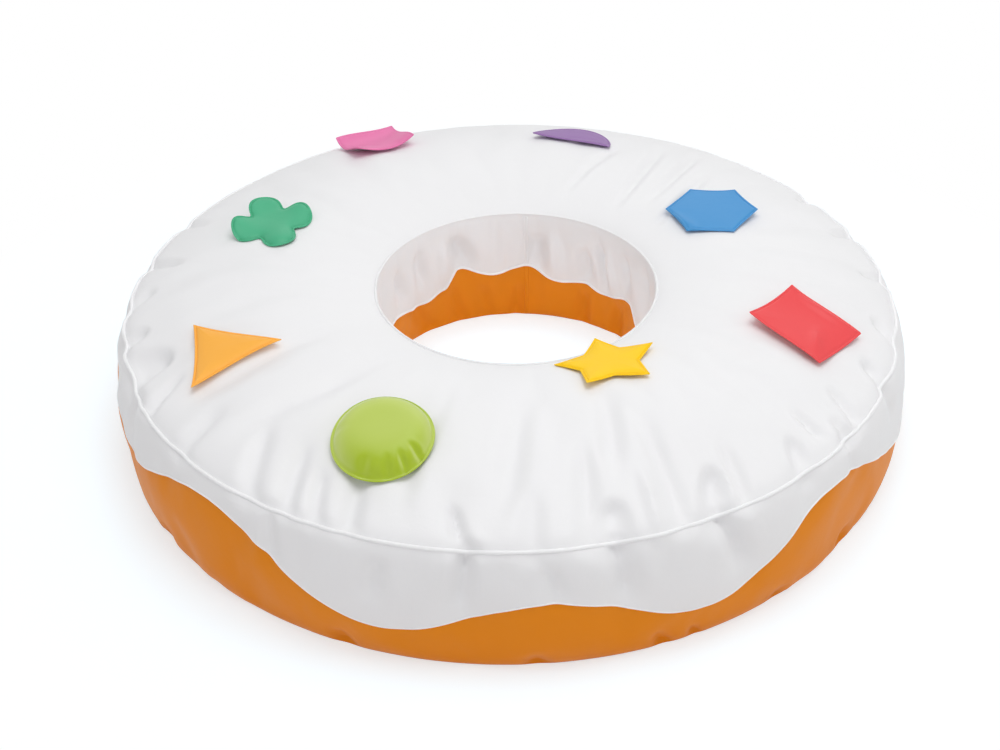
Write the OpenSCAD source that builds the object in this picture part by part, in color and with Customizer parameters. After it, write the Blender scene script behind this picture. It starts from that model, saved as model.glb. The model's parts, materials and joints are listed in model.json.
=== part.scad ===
// Ring-shaped floor seat for young children: a soft bead-filled ring in an orange cover
// with a white top and a scalloped white edge, and eight coloured touch pads on the top.
// The ring stands on the floor at z = 0 around the Z axis, and -Y is its front.
// All lengths are in millimetres and all angles in degrees.

/* [Ring] */
// Radius of the piping round the outer edge of the top
rim_r = 580; // [540:5:620]
// Height of that piping above the floor
rim_h = 188; // [165:1:210]
// Radius of the hole at its top edge
hole_r = 215; // [195:5:235]
// Height of the hole's top edge above the floor
hole_h = 211; // [190:1:230]
// Rise of the top's crown over a straight line between its two edges
crown_rise = 36; // [26:1:46]
// How far the outer wall steps outwards from the piping to the floor
wall_flare = 8; // [0:1:20]
// Bulge of the outer wall at half its height
wall_bulge = 17; // [8:1:26]
// How far the hole's wall steps outwards from its top edge to the floor
hole_flare = 24; // [10:1:34]
// Bulge of the hole's wall towards the middle of the hole
hole_bulge = 4; // [1:0.5:8]

/* [Cover and bag] */
// Thickness of the cover's leatherette
cover_t = 1.6; // [1:0.1:2.4]
// Thickness of the inner bag's cloth
bag_t = 1; // [0.6:0.1:1.6]
// How far the bag's corners are rounded off under the two piped edges
bag_corner = 18; // [15:1:26]
// Clearance between two soft layers
layer_gap = 0.4; // [0.3:0.05:0.6]

/* [Piping] */
// Diameter of the piping round the outer edge
rim_piping_d = 5.6; // [4.4:0.1:7]
// Diameter of the piping round the hole
hole_piping_d = 4; // [3.4:0.1:5]
// Thickness of the piping's own cover
piping_cover_t = 0.8; // [0.5:0.1:1]
// Thickness of the piping's sewing edge
piping_edge_t = 1; // [0.6:0.1:1.4]
// How far the sewing edge reaches into the ring
piping_edge_w = 7; // [4:0.5:9]

/* [White scalloped edges] */
// Thickness of the white scalloped bands
icing_t = 1.4; // [0.8:0.1:2]
// Distance from a band's top edge to the middle of the piping above it
icing_drop = 4.5; // [4:0.1:8]

/* [Zip] */
// Distance of the zip's middle line from the outer edge of the base
zip_inset = 130; // [90:5:180]
// Direction of the zip's middle from the centre of the ring
zip_az = 90; // [60:5:120]
// Length of the row of teeth
zip_len = 396; // [300:6:480]
// Distance between two teeth on one tape
tooth_pitch = 5; // [4.6:0.1:6]
// Length of a tooth from its tape to its tip
tooth_len = 3.5; // [3:0.1:3.6]
// Thickness of a tooth
tooth_t = 2.2; // [1.8:0.1:2.4]
// Length of a tooth's bevelled tip
tooth_bevel = 0.8; // [0.5:0.1:1]
// Width of the slit between the two tapes
tape_slit = 4.4; // [4.2:0.1:5]
// Width of one tape
tape_w = 12; // [10:0.5:16]
// Thickness of the tapes
tape_t = 0.6; // [0.4:0.1:0.8]
// Length of the zip's slider
slider_len = 13; // [10:0.5:18]
// Width of the zip's slider
slider_w = 11; // [9.6:0.2:13]
// Thickness of the slider's two plates
slider_plate_t = 0.6; // [0.4:0.1:0.7]
// Width of the lips along the two sides of the slider's plates
slider_lip_w = 0.8; // [0.6:0.1:1]
// Running clearance between the slider and the teeth and tapes
slider_gap = 0.3; // [0.2:0.05:0.4]
// Length of the stops at the two ends of the teeth
stop_len = 4; // [3:0.5:6]
// Gap between the last tooth and its stop
stop_gap = 1; // [0.5:0.1:2]
// Length of the leatherette tabs over the ends of the tapes
tab_len = 18; // [12:1:26]
// Gap between a stop and the tab beyond it
tab_gap = 3; // [2:0.5:5]
// How much narrower the tabs are than the tapes on each side
tab_inset = 2; // [1:0.5:4]
// How far the tapes run on past the tabs
tape_tail = 5; // [3:0.5:8]
// Clearance between the zip's slider and the sides of the slit in the base
slot_side_gap = 1.5; // [1:0.1:3]
// Clearance between the zip's stops and the ends of the slit in the base
slot_end_gap = 2; // [1:0.1:4]

/* [Touch pads] */
// Diameter of the round hook and loop patches that hold a pad
patch_d = 40; // [30:1:44]
// Thickness of each hook or loop patch
patch_t = 1; // [0.8:0.1:1.4]
// Thickness of the pads' front and back covers
pad_cover_t = 1; // [0.7:0.1:1.3]
// Width of the flat sewn edge round each pad
pad_edge_w = 6; // [4:0.5:8]
// Length of the soft curve at each corner of a pad
pad_corner = 4; // [2:0.5:10]
// Clearance between the layers of a pad
pad_gap = 0.2; // [0.1:0.05:0.4]
// Clearance round each hook or loop patch
patch_gap = 0.2; // [0.1:0.05:0.4]
// Longest straight step along the edge of a pad
pad_step = 40; // [30:1:60]

/* [Pink square] */
// Side of the square
pink_side = 108; // [90:1:115]
// Direction of the pad from the centre of the ring
pink_az = 117; // [105:0.5:125]
// Place of the pad across the top, from 0 at the hole to 1 at the rim
pink_across = 0.8; // [0.7:0.01:0.8]
// Turn of the pad about its own middle
pink_turn = 26; // [0:1:90]
// Height of the pad's crown over its edge
pink_loft = 4; // [3:0.5:9]

/* [Purple half disc] */
// Radius of the half disc
purple_r = 70; // [62:1:78]
// Direction of the pad from the centre of the ring
purple_az = 74.8; // [66:0.2:80]
// Place of the pad across the top, from 0 at the hole to 1 at the rim
purple_across = 0.68; // [0.6:0.01:0.75]
// Turn of the pad about its own middle
purple_turn = -21; // [-30:1:0]
// Height of the pad's crown over its edge
purple_loft = 4; // [3:0.5:9]

/* [Blue hexagon] */
// Side of the hexagon
blue_side = 74; // [62:1:82]
// Direction of the pad from the centre of the ring
blue_az = 26.9; // [20:0.1:34]
// Place of the pad across the top, from 0 at the hole to 1 at the rim
blue_across = 0.414; // [0.36:0.002:0.6]
// Turn of the pad about its own middle
blue_turn = -7.8; // [-30:0.2:30]
// Height of the pad's crown over its edge
blue_loft = 4; // [3:0.5:9]

/* [Red rectangle] */
// Width of the rectangle
red_w = 110; // [90:1:120]
// Length of the rectangle
red_l = 125; // [110:1:140]
// Direction of the pad from the centre of the ring
red_az = -20.5; // [-26:0.1:-10]
// Place of the pad across the top, from 0 at the hole to 1 at the rim
red_across = 0.65; // [0.5:0.005:0.68]
// Turn of the pad about its own middle
red_turn = 47; // [0:1:90]
// Height of the pad's crown over its edge
red_loft = 6; // [3:0.5:9]

/* [Yellow star] */
// Distance from the star's middle to its points
star_r = 76; // [66:1:84]
// Distance from the star's middle to the notches between the points
star_notch_r = 45; // [38:1:50]
// Direction of the pad from the centre of the ring
star_az = -60.1; // [-70:0.1:-50]
// Place of the pad across the top, from 0 at the hole to 1 at the rim
star_across = 0.162; // [0.15:0.002:0.4]
// Turn of the pad about its own middle
star_turn = -115; // [-130:1:-100]
// Height of the pad's crown over its edge
star_loft = 9; // [5:0.5:15]

/* [Lime disc] */
// Radius of the disc
lime_r = 70; // [60:1:78]
// Direction of the pad from the centre of the ring
lime_az = -112; // [-120:0.5:-104]
// Place of the pad across the top, from 0 at the hole to 1 at the rim
lime_across = 0.628; // [0.5:0.002:0.7]
// Height of the pad's crown over its edge
lime_loft = 18; // [12:0.5:24]

/* [Orange triangle] */
// Side of the triangle
triangle_side = 150; // [130:1:160]
// Direction of the pad from the centre of the ring
triangle_az = -154.1; // [-160:0.1:-146]
// Place of the pad across the top, from 0 at the hole to 1 at the rim
triangle_across = 0.648; // [0.5:0.002:0.66]
// Turn of the pad about its own middle
triangle_turn = 7; // [-30:1:30]
// Height of the pad's crown over its edge
triangle_loft = 10; // [6:0.5:18]

/* [Green clover] */
// Distance from the clover's middle to the tips of its leaves
clover_tip_r = 65; // [58:0.5:70]
// Distance from the clover's middle to the waists between its leaves
clover_waist_r = 43; // [38:0.5:50]
// Direction of the pad from the centre of the ring
clover_az = 158.9; // [150:0.1:166]
// Place of the pad across the top, from 0 at the hole to 1 at the rim
clover_across = 0.508; // [0.4:0.002:0.65]
// Turn of the pad about its own middle
clover_turn = 22.6; // [0:0.2:45]
// Height of the pad's crown over its edge
clover_loft = 10; // [6:0.5:18]

/* [Hidden] */
$fn = 180;

WHITE = [0.93, 0.92, 0.91];
ORANGE = [0.78, 0.40, 0.11];
CLOTH = [0.85, 0.84, 0.80];
BEADS = [0.97, 0.97, 0.97];
ZIP = [0.20, 0.20, 0.21];
STEEL = [0.60, 0.61, 0.62];

// Radii at the floor
floor_r = rim_r + wall_flare;
hole_floor_r = hole_r + hole_flare;

// Number of steps along the profile of the top and of each wall
top_steps = 24;
wall_steps = 10;

// How far a cutting shape runs on past what it cuts
cut_over = 1;

// Levels in the zip, upwards from the floor
tape_z = cover_t + slider_gap;
tooth_z = tape_z + (tape_t - tooth_t) / 2;
slider_low_z = tooth_z - slider_gap - slider_plate_t;
slider_high_z = tooth_z + tooth_t + slider_gap;
slider_top_z = slider_high_z + slider_plate_t;
zip_room_h = slider_top_z + 2 * slider_gap;
zip_r = floor_r - zip_inset;

// Height of a pad's back over the top panel: two patches, their clearances, and the drop
// of the round top below a flat patch
top_bend_r = pow(rim_r - hole_r, 2) / (8 * crown_rise);
patch_drop = pow(patch_d / 2, 2) / (2 * top_bend_r);
loop_low = patch_gap / 2;
hook_low = loop_low + patch_t + patch_gap;
pad_low = hook_low + patch_t + patch_gap + patch_drop;

// Lower edge of the outer white band: direction of each drip and each arch between two
// drips, once round the ring, and its height as a share of the wall's
outer_drips = [
    [-157, 0.55], [-133, 0.87], [-106, 0.36], [-86, 0.63], [-65.5, 0.35], [-43.5, 0.81],
    [-18, 0.38], [6, 0.68], [29, 0.37], [51, 0.78], [74, 0.39], [93, 0.63],
    [117, 0.35], [139, 0.80], [161, 0.40], [184, 0.88]
];
// Lower edge of the white band in the hole, in the same way
hole_drips = [
    [-169, 0.49], [-148, 0.33], [-126, 0.47], [-104, 0.34], [-82, 0.50], [-60, 0.37],
    [-38, 0.48], [-14, 0.35], [8, 0.46], [20, 0.40], [32, 0.45], [50, 0.37],
    [60, 0.41], [68, 0.39], [84, 0.49], [95, 0.45], [113.5, 0.52], [137, 0.31]
];

// Profile of the ring, in radius and height

function across(r) = (r - hole_r) / (rim_r - hole_r);

function top_z(r) =
    let (t = across(r)) hole_h + (rim_h - hole_h) * t + crown_rise * 4 * t * (1 - t);

function top_slope(r) =
    (rim_h - hole_h + 4 * crown_rise * (1 - 2 * across(r))) / (rim_r - hole_r);

function wall_r(z) =
    let (s = 1 - z / rim_h) rim_r + wall_flare * s + wall_bulge * 4 * s * (1 - s);

function hole_wall_r(z) =
    let (s = 1 - z / hole_h) hole_r + hole_flare * s - hole_bulge * 4 * s * (1 - s);

// The closed outline of the ring, clockwise from the hole's top edge
function ring_outline() = concat(
    [for (i = [0:top_steps]) let (r = hole_r + (rim_r - hole_r) * i / top_steps) [r, top_z(r)]],
    [for (i = [1:wall_steps]) let (z = rim_h * (1 - i / wall_steps)) [wall_r(z), z]],
    [for (i = [0:wall_steps - 1]) let (z = hole_h * i / wall_steps) [hole_wall_r(z), z]]
);
rim_at = top_steps;
foot_at = top_steps + wall_steps;
hole_foot_at = foot_at + 1;
outline_n = hole_foot_at + wall_steps;

// Normal of the edge from a to b, pointing to its right-hand side
function edge_normal(a, b) = let (d = b - a) [d.y, -d.x] / norm(d);

// Sum of the two normals that meet at a point of the outline
function corner_sum(points, i) =
    let (n = len(points), b = points[i])
    edge_normal(points[(i + n - 1) % n], b) + edge_normal(b, points[(i + 1) % n]);

// The outline moved inwards by a depth
function inset(points, depth) = [
    for (i = [0:len(points) - 1])
        let (m = corner_sum(points, i)) points[i] + m * (2 * depth / (m * m))
];

// The outline with its two piped corners cut off
function cut_corners(points, cut) = [
    for (i = [0:len(points) - 1])
        let (b = points[i], piped = (i == 0 || i == rim_at), n = len(points))
        each (piped
            ? [along(b, points[(i + n - 1) % n], cut), along(b, points[(i + 1) % n], cut)]
            : (norm(b - points[0]) > cut && norm(b - points[rim_at]) > cut ? [b] : []))
];

// The point at a distance from a towards b
function along(a, b, distance) = a + (b - a) * (distance / norm(b - a));

outline = ring_outline();
cover_inside = inset(outline, cover_t);

// Strip of the cover from one point of the outline to another, as a closed outline
function strip(from, to) = concat(
    [for (i = [from:to]) outline[i % outline_n]],
    [for (i = [to:-1:from]) cover_inside[i % outline_n]]
);

// The angle that a length takes up along the zip
function zip_turn(length) = length / zip_r * 180 / PI;

// A ring cut from the zip's area of the base, from one level and distance to another
module zip_arc(side_from, side_to, low, high, length, turn = 0) {
    span = zip_turn(length);
    rotate([0, 0, zip_az + turn - span / 2])
        rotate_extrude(angle = span)
            translate([zip_r + side_from, low])
                square([side_to - side_from, high - low]);
}

// Distances along the tapes from the zip's middle: to the middle of a stop, to the middle
// of a tab and to the end of the tapes
stop_at = zip_len / 2 + stop_gap + stop_len / 2;
tab_at = stop_at + stop_len / 2 + tab_gap + tab_len / 2;
zip_reach = tab_at + tab_len / 2 + tape_tail;

// Room for the zip, wider on every side by a margin
module zip_room(margin) {
    half = tape_slit / 2 + tape_w + slot_side_gap + margin;
    zip_arc(-half, half, -cut_over, zip_room_h + margin, 2 * (zip_reach + margin));
}

// Solid ring inside the outline, with its piped corners rounded off
module ring_solid(depth) {
    rotate_extrude()
        polygon(inset(cut_corners(outline, bag_corner), depth));
}

// Filling and inner bag

module bead_filling() {
    color(BEADS) difference() {
        ring_solid(cover_t + bag_t + 2 * layer_gap);
        zip_room(bag_t + layer_gap);
    }
}

module inner_bag() {
    color(CLOTH) difference() {
        ring_solid(cover_t + layer_gap);
        difference() {
            ring_solid(cover_t + bag_t + layer_gap);
            zip_room(bag_t);
        }
        zip_room(0);
    }
}

// Cover panels

// Direction out of a piped corner, in degrees from the radius
function corner_out(i) = let (m = corner_sum(outline, i)) atan2(-m.y, -m.x);

// Number of sides drawn on a piping's round section
piping_sides = 48;

// Section of a piping of this diameter and its sewing edge, grown by a margin
module piping_section(corner, d, margin) {
    circle(d = d + 2 * margin, $fn = piping_sides);
    rotate(corner_out(corner))
        translate([-piping_edge_w - margin, -piping_edge_t / 2 - margin])
            square([piping_edge_w + margin, piping_edge_t + 2 * margin]);
}

// A section drawn round one of the two piped corners, revolved round the ring
module round_corner(corner) {
    rotate_extrude()
        translate(outline[corner])
            children();
}

// Room cut for a piping in the panels that it joins
module piping_room(corner, d) {
    round_corner(corner)
        piping_section(corner, d, layer_gap / 2);
}

module top_panel() {
    color(WHITE) difference() {
        rotate_extrude()
            polygon(strip(0, rim_at));
        piping_room(rim_at, rim_piping_d);
        piping_room(0, hole_piping_d);
    }
}

module outer_wall() {
    color(ORANGE) difference() {
        rotate_extrude()
            polygon(strip(rim_at, foot_at));
        piping_room(rim_at, rim_piping_d);
    }
}

module hole_wall() {
    color(ORANGE) difference() {
        rotate_extrude()
            polygon(strip(hole_foot_at, outline_n));
        piping_room(0, hole_piping_d);
    }
}

module base_panel() {
    slot = slider_w / 2 + slot_side_gap;
    slot_len = 2 * (stop_at + stop_len / 2 + slot_end_gap);
    inner = cover_inside[hole_foot_at].x;
    outer = cover_inside[foot_at].x;
    color(ORANGE) difference() {
        rotate_extrude()
            polygon([
                [hole_floor_r + layer_gap, 0],
                [inner + layer_gap, cover_t],
                [outer - layer_gap, cover_t],
                [floor_r - layer_gap, 0]
            ]);
        zip_arc(-slot, slot, -cut_over, cover_t + cut_over, slot_len);
    }
}

// Piping

module piping_cover(corner, d) {
    round_corner(corner)
        difference() {
            piping_section(corner, d, 0);
            circle(d = d - 2 * piping_cover_t, $fn = piping_sides);
        }
}

module piping_cord(corner, d) {
    round_corner(corner)
        circle(d = d - 2 * piping_cover_t - layer_gap / 2, $fn = piping_sides);
}

module rim_piping() { color(WHITE) piping_cover(rim_at, rim_piping_d); }
module rim_piping_cord() { color(CLOTH) piping_cord(rim_at, rim_piping_d); }
module hole_piping() { color(WHITE) piping_cover(0, hole_piping_d); }
module hole_piping_cord() { color(CLOTH) piping_cord(0, hole_piping_d); }

// White scalloped bands

band_columns = 120;
hole_band_columns = 90;
band_rows = 5;

// Height of a scalloped edge in one direction, easing from each drip to the next arch
function scallop(drips, az, i = 0) =
    let (
        n = len(drips),
        a = drips[i],
        b = drips[(i + 1) % n],
        b_az = b[0] + (i == n - 1 ? 360 : 0),
        u = (az - a[0]) / (b_az - a[0])
    )
    u <= 1 || i == n - 1
        ? a[1] + (b[1] - a[1]) * (1 - cos(180 * u)) / 2
        : scallop(drips, az, i + 1);

// A closed skin over a grid that goes all the way round: columns of points that each
// run down the front and up the back
module round_skin(columns) {
    n = len(columns);
    m = len(columns[0]);
    polyhedron(
        points = [for (c = columns) each c],
        faces = [
            for (i = [0:n - 1], j = [0:m - 1])
                let (
                    a = i * m + j,
                    b = i * m + (j + 1) % m,
                    c = (i + 1) % n * m + (j + 1) % m,
                    d = (i + 1) % n * m + j
                )
                each [[a, b, c], [a, c, d]]
        ],
        convexity = 6
    );
}

function turned(r, az, z) = [r * cos(az), r * sin(az), z];

module outer_icing() {
    // The flat facets still clear the round wall behind them
    widen = 1 / cos(180 / band_columns);
    high = rim_h - icing_drop;
    first = outer_drips[0][0];
    color(WHITE) round_skin([
        for (i = [0:band_columns - 1])
            let (
                az = ceil(first) + i * 360 / band_columns,
                low = rim_h * scallop(outer_drips, az),
                zs = [for (j = [0:band_rows]) high + (low - high) * j / band_rows]
            )
            concat(
                [for (z = zs) turned((wall_r(z) + layer_gap + icing_t) * widen, az, z)],
                [for (j = [band_rows:-1:0]) turned((wall_r(zs[j]) + layer_gap) * widen, az, zs[j])]
            )
    ]);
}

module hole_icing() {
    high = hole_h - icing_drop;
    first = hole_drips[0][0];
    color(WHITE) round_skin([
        for (i = [0:hole_band_columns - 1])
            let (
                az = first + i * 360 / hole_band_columns,
                low = hole_h * scallop(hole_drips, az),
                zs = [for (j = [0:band_rows - 1]) high + (low - high) * j / (band_rows - 1)]
            )
            concat(
                [for (z = zs) turned(hole_wall_r(z) - layer_gap, az, z)],
                [for (j = [band_rows - 1:-1:0])
                    turned(hole_wall_r(zs[j]) - layer_gap - icing_t, az, zs[j])]
            )
    ]);
}

// Zip under the back of the ring

module zip_tapes() {
    inner = tape_slit / 2;
    color(ZIP) {
        zip_arc(inner, inner + tape_w, tape_z, tape_z + tape_t, 2 * zip_reach);
        zip_arc(-inner - tape_w, -inner, tape_z, tape_z + tape_t, 2 * zip_reach);
    }
}

// Widths of a tooth's neck and head as shares of the pitch
tooth_neck_share = 0.32;
tooth_head_share = 0.5;

// Clearance between the teeth's roots and the tapes' edges
root_gap = 0.1;

// One tooth in plan: a dovetail with a bevelled tip, pointing along +X from its root
module tooth_plan() {
    neck = tooth_pitch * tooth_neck_share / 2;
    head = tooth_pitch * tooth_head_share / 2;
    shoulder = tooth_len - tooth_bevel;
    polygon([
        [0, -neck], [shoulder, -head], [tooth_len, -neck],
        [tooth_len, neck], [shoulder, head], [0, neck]
    ]);
}

module zip_teeth() {
    step = zip_turn(tooth_pitch);
    count = floor(zip_len / tooth_pitch) - 1;
    root = tape_slit / 2 - root_gap;
    color(STEEL) for (i = [0:count]) {
        az = zip_az + (i - count / 2) * step;
        rotate([0, 0, az - step / 4])
            translate([zip_r - root, 0, tooth_z])
                linear_extrude(tooth_t) tooth_plan();
        rotate([0, 0, az + step / 4])
            translate([zip_r + root, 0, tooth_z])
                rotate([0, 0, 180])
                    linear_extrude(tooth_t) tooth_plan();
    }
}

module zip_stops() {
    half = tape_slit / 2 - root_gap;
    color(STEEL) for (side = [-1, 1])
        zip_arc(-half, half, tooth_z, tooth_z + tooth_t, stop_len, side * zip_turn(stop_at));
}

module zip_end_tabs() {
    half = tape_slit / 2 + tape_w - tab_inset;
    low = tape_z + tape_t + slider_gap;
    color(ORANGE) for (side = [-1, 1])
        zip_arc(-half, half, low, low + cover_t, tab_len, side * zip_turn(tab_at));
}

// The slider rests at the closed end, in the direction of falling angle
slider_turn = -zip_turn((zip_len - slider_len) / 2);

module zip_slider() {
    half = slider_w / 2;
    lip = slider_lip_w;
    color(STEEL) {
        zip_arc(-half, half, slider_low_z, slider_low_z + slider_plate_t, slider_len, slider_turn);
        zip_arc(-half, half, slider_high_z, slider_top_z, slider_len, slider_turn);
        for (side = [-half, half - lip]) {
            zip_arc(side, side + lip, slider_low_z, tape_z - slider_gap, slider_len, slider_turn);
            zip_arc(side, side + lip, tape_z + tape_t + slider_gap, slider_top_z, slider_len,
                slider_turn);
        }
    }
}

// Outlines of the pads, counterclockwise round the pad's middle

function regular(n, r) = [for (i = [0:n - 1]) r * [cos(360 * i / n), sin(360 * i / n)]];

function oblong(w, l) = [[-w, -l], [w, -l], [w, l], [-w, l]] / 2;

function star(r, notch) =
    [for (i = [0:9]) (i % 2 == 0 ? r : notch) * [cos(36 * i), sin(36 * i)]];

// Four round leaves that flow into each other over a waist; the leaf power broadens their tips
clover_points = 40;
clover_leaf_power = 0.8;
function clover(tip_r, waist_r) = [
    for (i = [0:clover_points - 1])
        let (
            a = 360 * i / clover_points,
            wave = sign(cos(4 * a)) * pow(abs(cos(4 * a)), clover_leaf_power)
        )
        ((tip_r + waist_r) / 2 + (tip_r - waist_r) / 2 * wave) * [cos(a), sin(a)]
];

// A half disc whose middle lies at a share of its radius from its straight edge
half_disc_middle = 0.42;
half_disc_steps = 14;
function half_disc(r) = [
    for (i = [0:half_disc_steps])
        let (a = 180 * i / half_disc_steps) r * [cos(a), sin(a) - half_disc_middle]
];

// Each corner drawn as a short curve of three points
function soft_corners(points, cut) = [
    for (i = [0:len(points) - 1])
        let (
            n = len(points),
            b = points[i],
            a = along(b, points[(i + n - 1) % n], cut),
            c = along(b, points[(i + 1) % n], cut)
        )
        each [a, (a + 2 * b + c) / 4, c]
];

// Long straight edges divided, so that the pad can follow the round top
function stepped(points) = [
    for (i = [0:len(points) - 1])
        let (
            a = points[i],
            b = points[(i + 1) % len(points)],
            n = ceil(norm(b - a) / pad_step)
        )
        each [for (k = [0:n - 1]) a + (b - a) * k / n]
];

function turned_plan(points, az) =
    [for (p = points) [p.x * cos(az) - p.y * sin(az), p.x * sin(az) + p.y * cos(az)]];

// Number of points round the lime disc
disc_points = 24;

// Pads: name, colour, direction, place across the top, loft and outline

PADS = [
    ["pink_square", [0.90, 0.28, 0.50], pink_az, pink_across, pink_loft,
        turned_plan(stepped(soft_corners(oblong(pink_side, pink_side), pad_corner)), pink_turn)],
    ["purple_half_disc", [0.42, 0.22, 0.55], purple_az, purple_across, purple_loft,
        turned_plan(stepped(half_disc(purple_r)), purple_turn)],
    ["blue_hexagon", [0.10, 0.48, 0.78], blue_az, blue_across, blue_loft,
        turned_plan(stepped(soft_corners(regular(6, blue_side), pad_corner)), blue_turn)],
    ["red_rectangle", [0.80, 0.10, 0.14], red_az, red_across, red_loft,
        turned_plan(stepped(soft_corners(oblong(red_w, red_l), pad_corner)), red_turn)],
    ["yellow_star", [0.97, 0.80, 0.12], star_az, star_across, star_loft,
        turned_plan(stepped(soft_corners(star(star_r, star_notch_r), pad_corner)), star_turn)],
    ["lime_disc", [0.70, 0.80, 0.16], lime_az, lime_across, lime_loft,
        regular(disc_points, lime_r)],
    ["orange_triangle", [0.95, 0.60, 0.20], triangle_az, triangle_across, triangle_loft,
        turned_plan(stepped(soft_corners(regular(3, triangle_side / sqrt(3)), pad_corner)),
            triangle_turn)],
    ["green_clover", [0.20, 0.58, 0.28], clover_az, clover_across, clover_loft,
        turned_plan(clover(clover_tip_r, clover_waist_r), clover_turn)]
];
function pad_name(pad) = pad[0];
function pad_colour(pad) = pad[1];
function pad_az(pad) = pad[2];
function pad_r(pad) = hole_r + pad[3] * (rim_r - hole_r);
function pad_loft(pad) = pad[4];
function pad_outline(pad) = pad[5];

// The point of a pad that lies at a place on its plan and at a height over the top: the
// plan is laid on the sloping top, so it is foreshortened along the radius
function pad_point(pad, plan, height) =
    let (
        r0 = pad_r(pad),
        out = [cos(pad_az(pad)), sin(pad_az(pad))],
        side = [-out.y, out.x],
        shrink = 1 / sqrt(1 + pow(top_slope(r0), 2)),
        xy = out * (r0 + (plan * out) * shrink) + side * (plan * side),
        r = norm(xy),
        slope = top_slope(r),
        lift = height / sqrt(1 + slope * slope)
    )
    [xy.x * (1 - slope * lift / r), xy.y * (1 - slope * lift / r), top_z(r) + lift];

// Shares of the outline at which a pad's rings lie: its edge, the inside of its sewn edge
// and two rings on its crown
crown_rings = [0.76, 0.42];
function pad_rings(pad) =
    let (sewn = 1 - pad_edge_w / norm(pad_outline(pad)[0])) concat([1, sewn], sewn * crown_rings);

// Height of the crown over the sewn edge at a share of the outline
crown_power = 2.6;
function crown(pad, share) =
    let (rings = pad_rings(pad), sewn = rings[1])
    lookup(share, [
        for (s = [0, rings[3], rings[2], rings[1], rings[0]])
            [s, s >= sewn ? 0 : pad_loft(pad) * (1 - pow(s / sewn, crown_power))]
    ]);

// A closed skin from a pad's rings: top side and underside, each closed at its middle
module pad_skin(pad, shares, low, high) {
    plan = pad_outline(pad);
    n = len(plan);
    m = len(shares);
    upper = [for (s = shares, p = plan) pad_point(pad, p * s, high(s))];
    lower = [for (s = shares, p = plan) pad_point(pad, p * s, low(s))];
    middle = [pad_point(pad, [0, 0], high(0)), pad_point(pad, [0, 0], low(0))];
    under = m * n;
    top_middle = 2 * under;
    low_middle = top_middle + 1;
    polyhedron(
        points = concat(upper, lower, middle),
        faces = concat(
            [for (k = [0:m - 2], i = [0:n - 1])
                let (a = k * n + i, b = k * n + (i + 1) % n)
                each [[a, a + n, b + n], [a, b + n, b]]],
            [for (i = [0:n - 1]) [(m - 1) * n + i, top_middle, (m - 1) * n + (i + 1) % n]],
            [for (k = [0:m - 2], i = [0:n - 1])
                let (a = under + k * n + i, b = under + k * n + (i + 1) % n)
                each [[a, b + n, a + n], [a, b, b + n]]],
            [for (i = [0:n - 1])
                [under + (m - 1) * n + i, under + (m - 1) * n + (i + 1) % n, low_middle]],
            [for (i = [0:n - 1])
                let (a = i, b = (i + 1) % n) each [[a, b, under + b], [a, under + b, under + a]]]
        ),
        convexity = 4
    );
}

// Heights over the top panel of a pad's layers at its sewn edge
pad_back_high = pad_low + pad_cover_t;
pad_front_low = pad_back_high + pad_gap;
pad_front_high = pad_front_low + pad_cover_t;

module pad_front(pad) {
    color(pad_colour(pad))
        pad_skin(pad, pad_rings(pad),
            function(s) pad_front_low + crown(pad, s),
            function(s) pad_front_high + crown(pad, s));
}

// How far the padding's edge stays inside the sewn edge, as a share of the way to the
// crown's outer ring
padding_inset = 0.45;

module pad_padding(pad) {
    rings = pad_rings(pad);
    edge = rings[1] - (rings[1] - rings[2]) * padding_inset;
    color(BEADS)
        pad_skin(pad, [edge, rings[2], rings[3]],
            function(s) pad_back_high + pad_gap,
            function(s) pad_front_low + crown(pad, s) - pad_gap);
}

module pad_back(pad) {
    color(pad_colour(pad))
        pad_skin(pad, pad_rings(pad), function(s) pad_low, function(s) pad_back_high);
}

// A flat round patch that lies square to the top under a pad
module patch(pad, low) {
    r0 = pad_r(pad);
    rotate([0, 0, pad_az(pad)])
        translate([r0, 0, top_z(r0)])
            rotate([0, -atan(top_slope(r0)), 0])
                translate([0, 0, low])
                    cylinder(h = patch_t, d = patch_d, $fn = 48);
}

module pad_hook(pad) {
    color(CLOTH) patch(pad, hook_low);
}

module loop_patches() {
    color(CLOTH) for (pad = PADS) patch(pad, loop_low);
}

bead_filling();
inner_bag();
top_panel();
outer_wall();
hole_wall();
base_panel();
outer_icing();
hole_icing();
rim_piping();
rim_piping_cord();
hole_piping();
hole_piping_cord();
zip_tapes();
zip_teeth();
zip_stops();
zip_end_tabs();
zip_slider();
loop_patches();
for (pad = PADS) {
    pad_front(pad);
    pad_padding(pad);
    pad_back(pad);
    pad_hook(pad);
}
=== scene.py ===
import json
import math

import bmesh
import bpy
import numpy as np
from mathutils import Matrix, Vector


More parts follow.
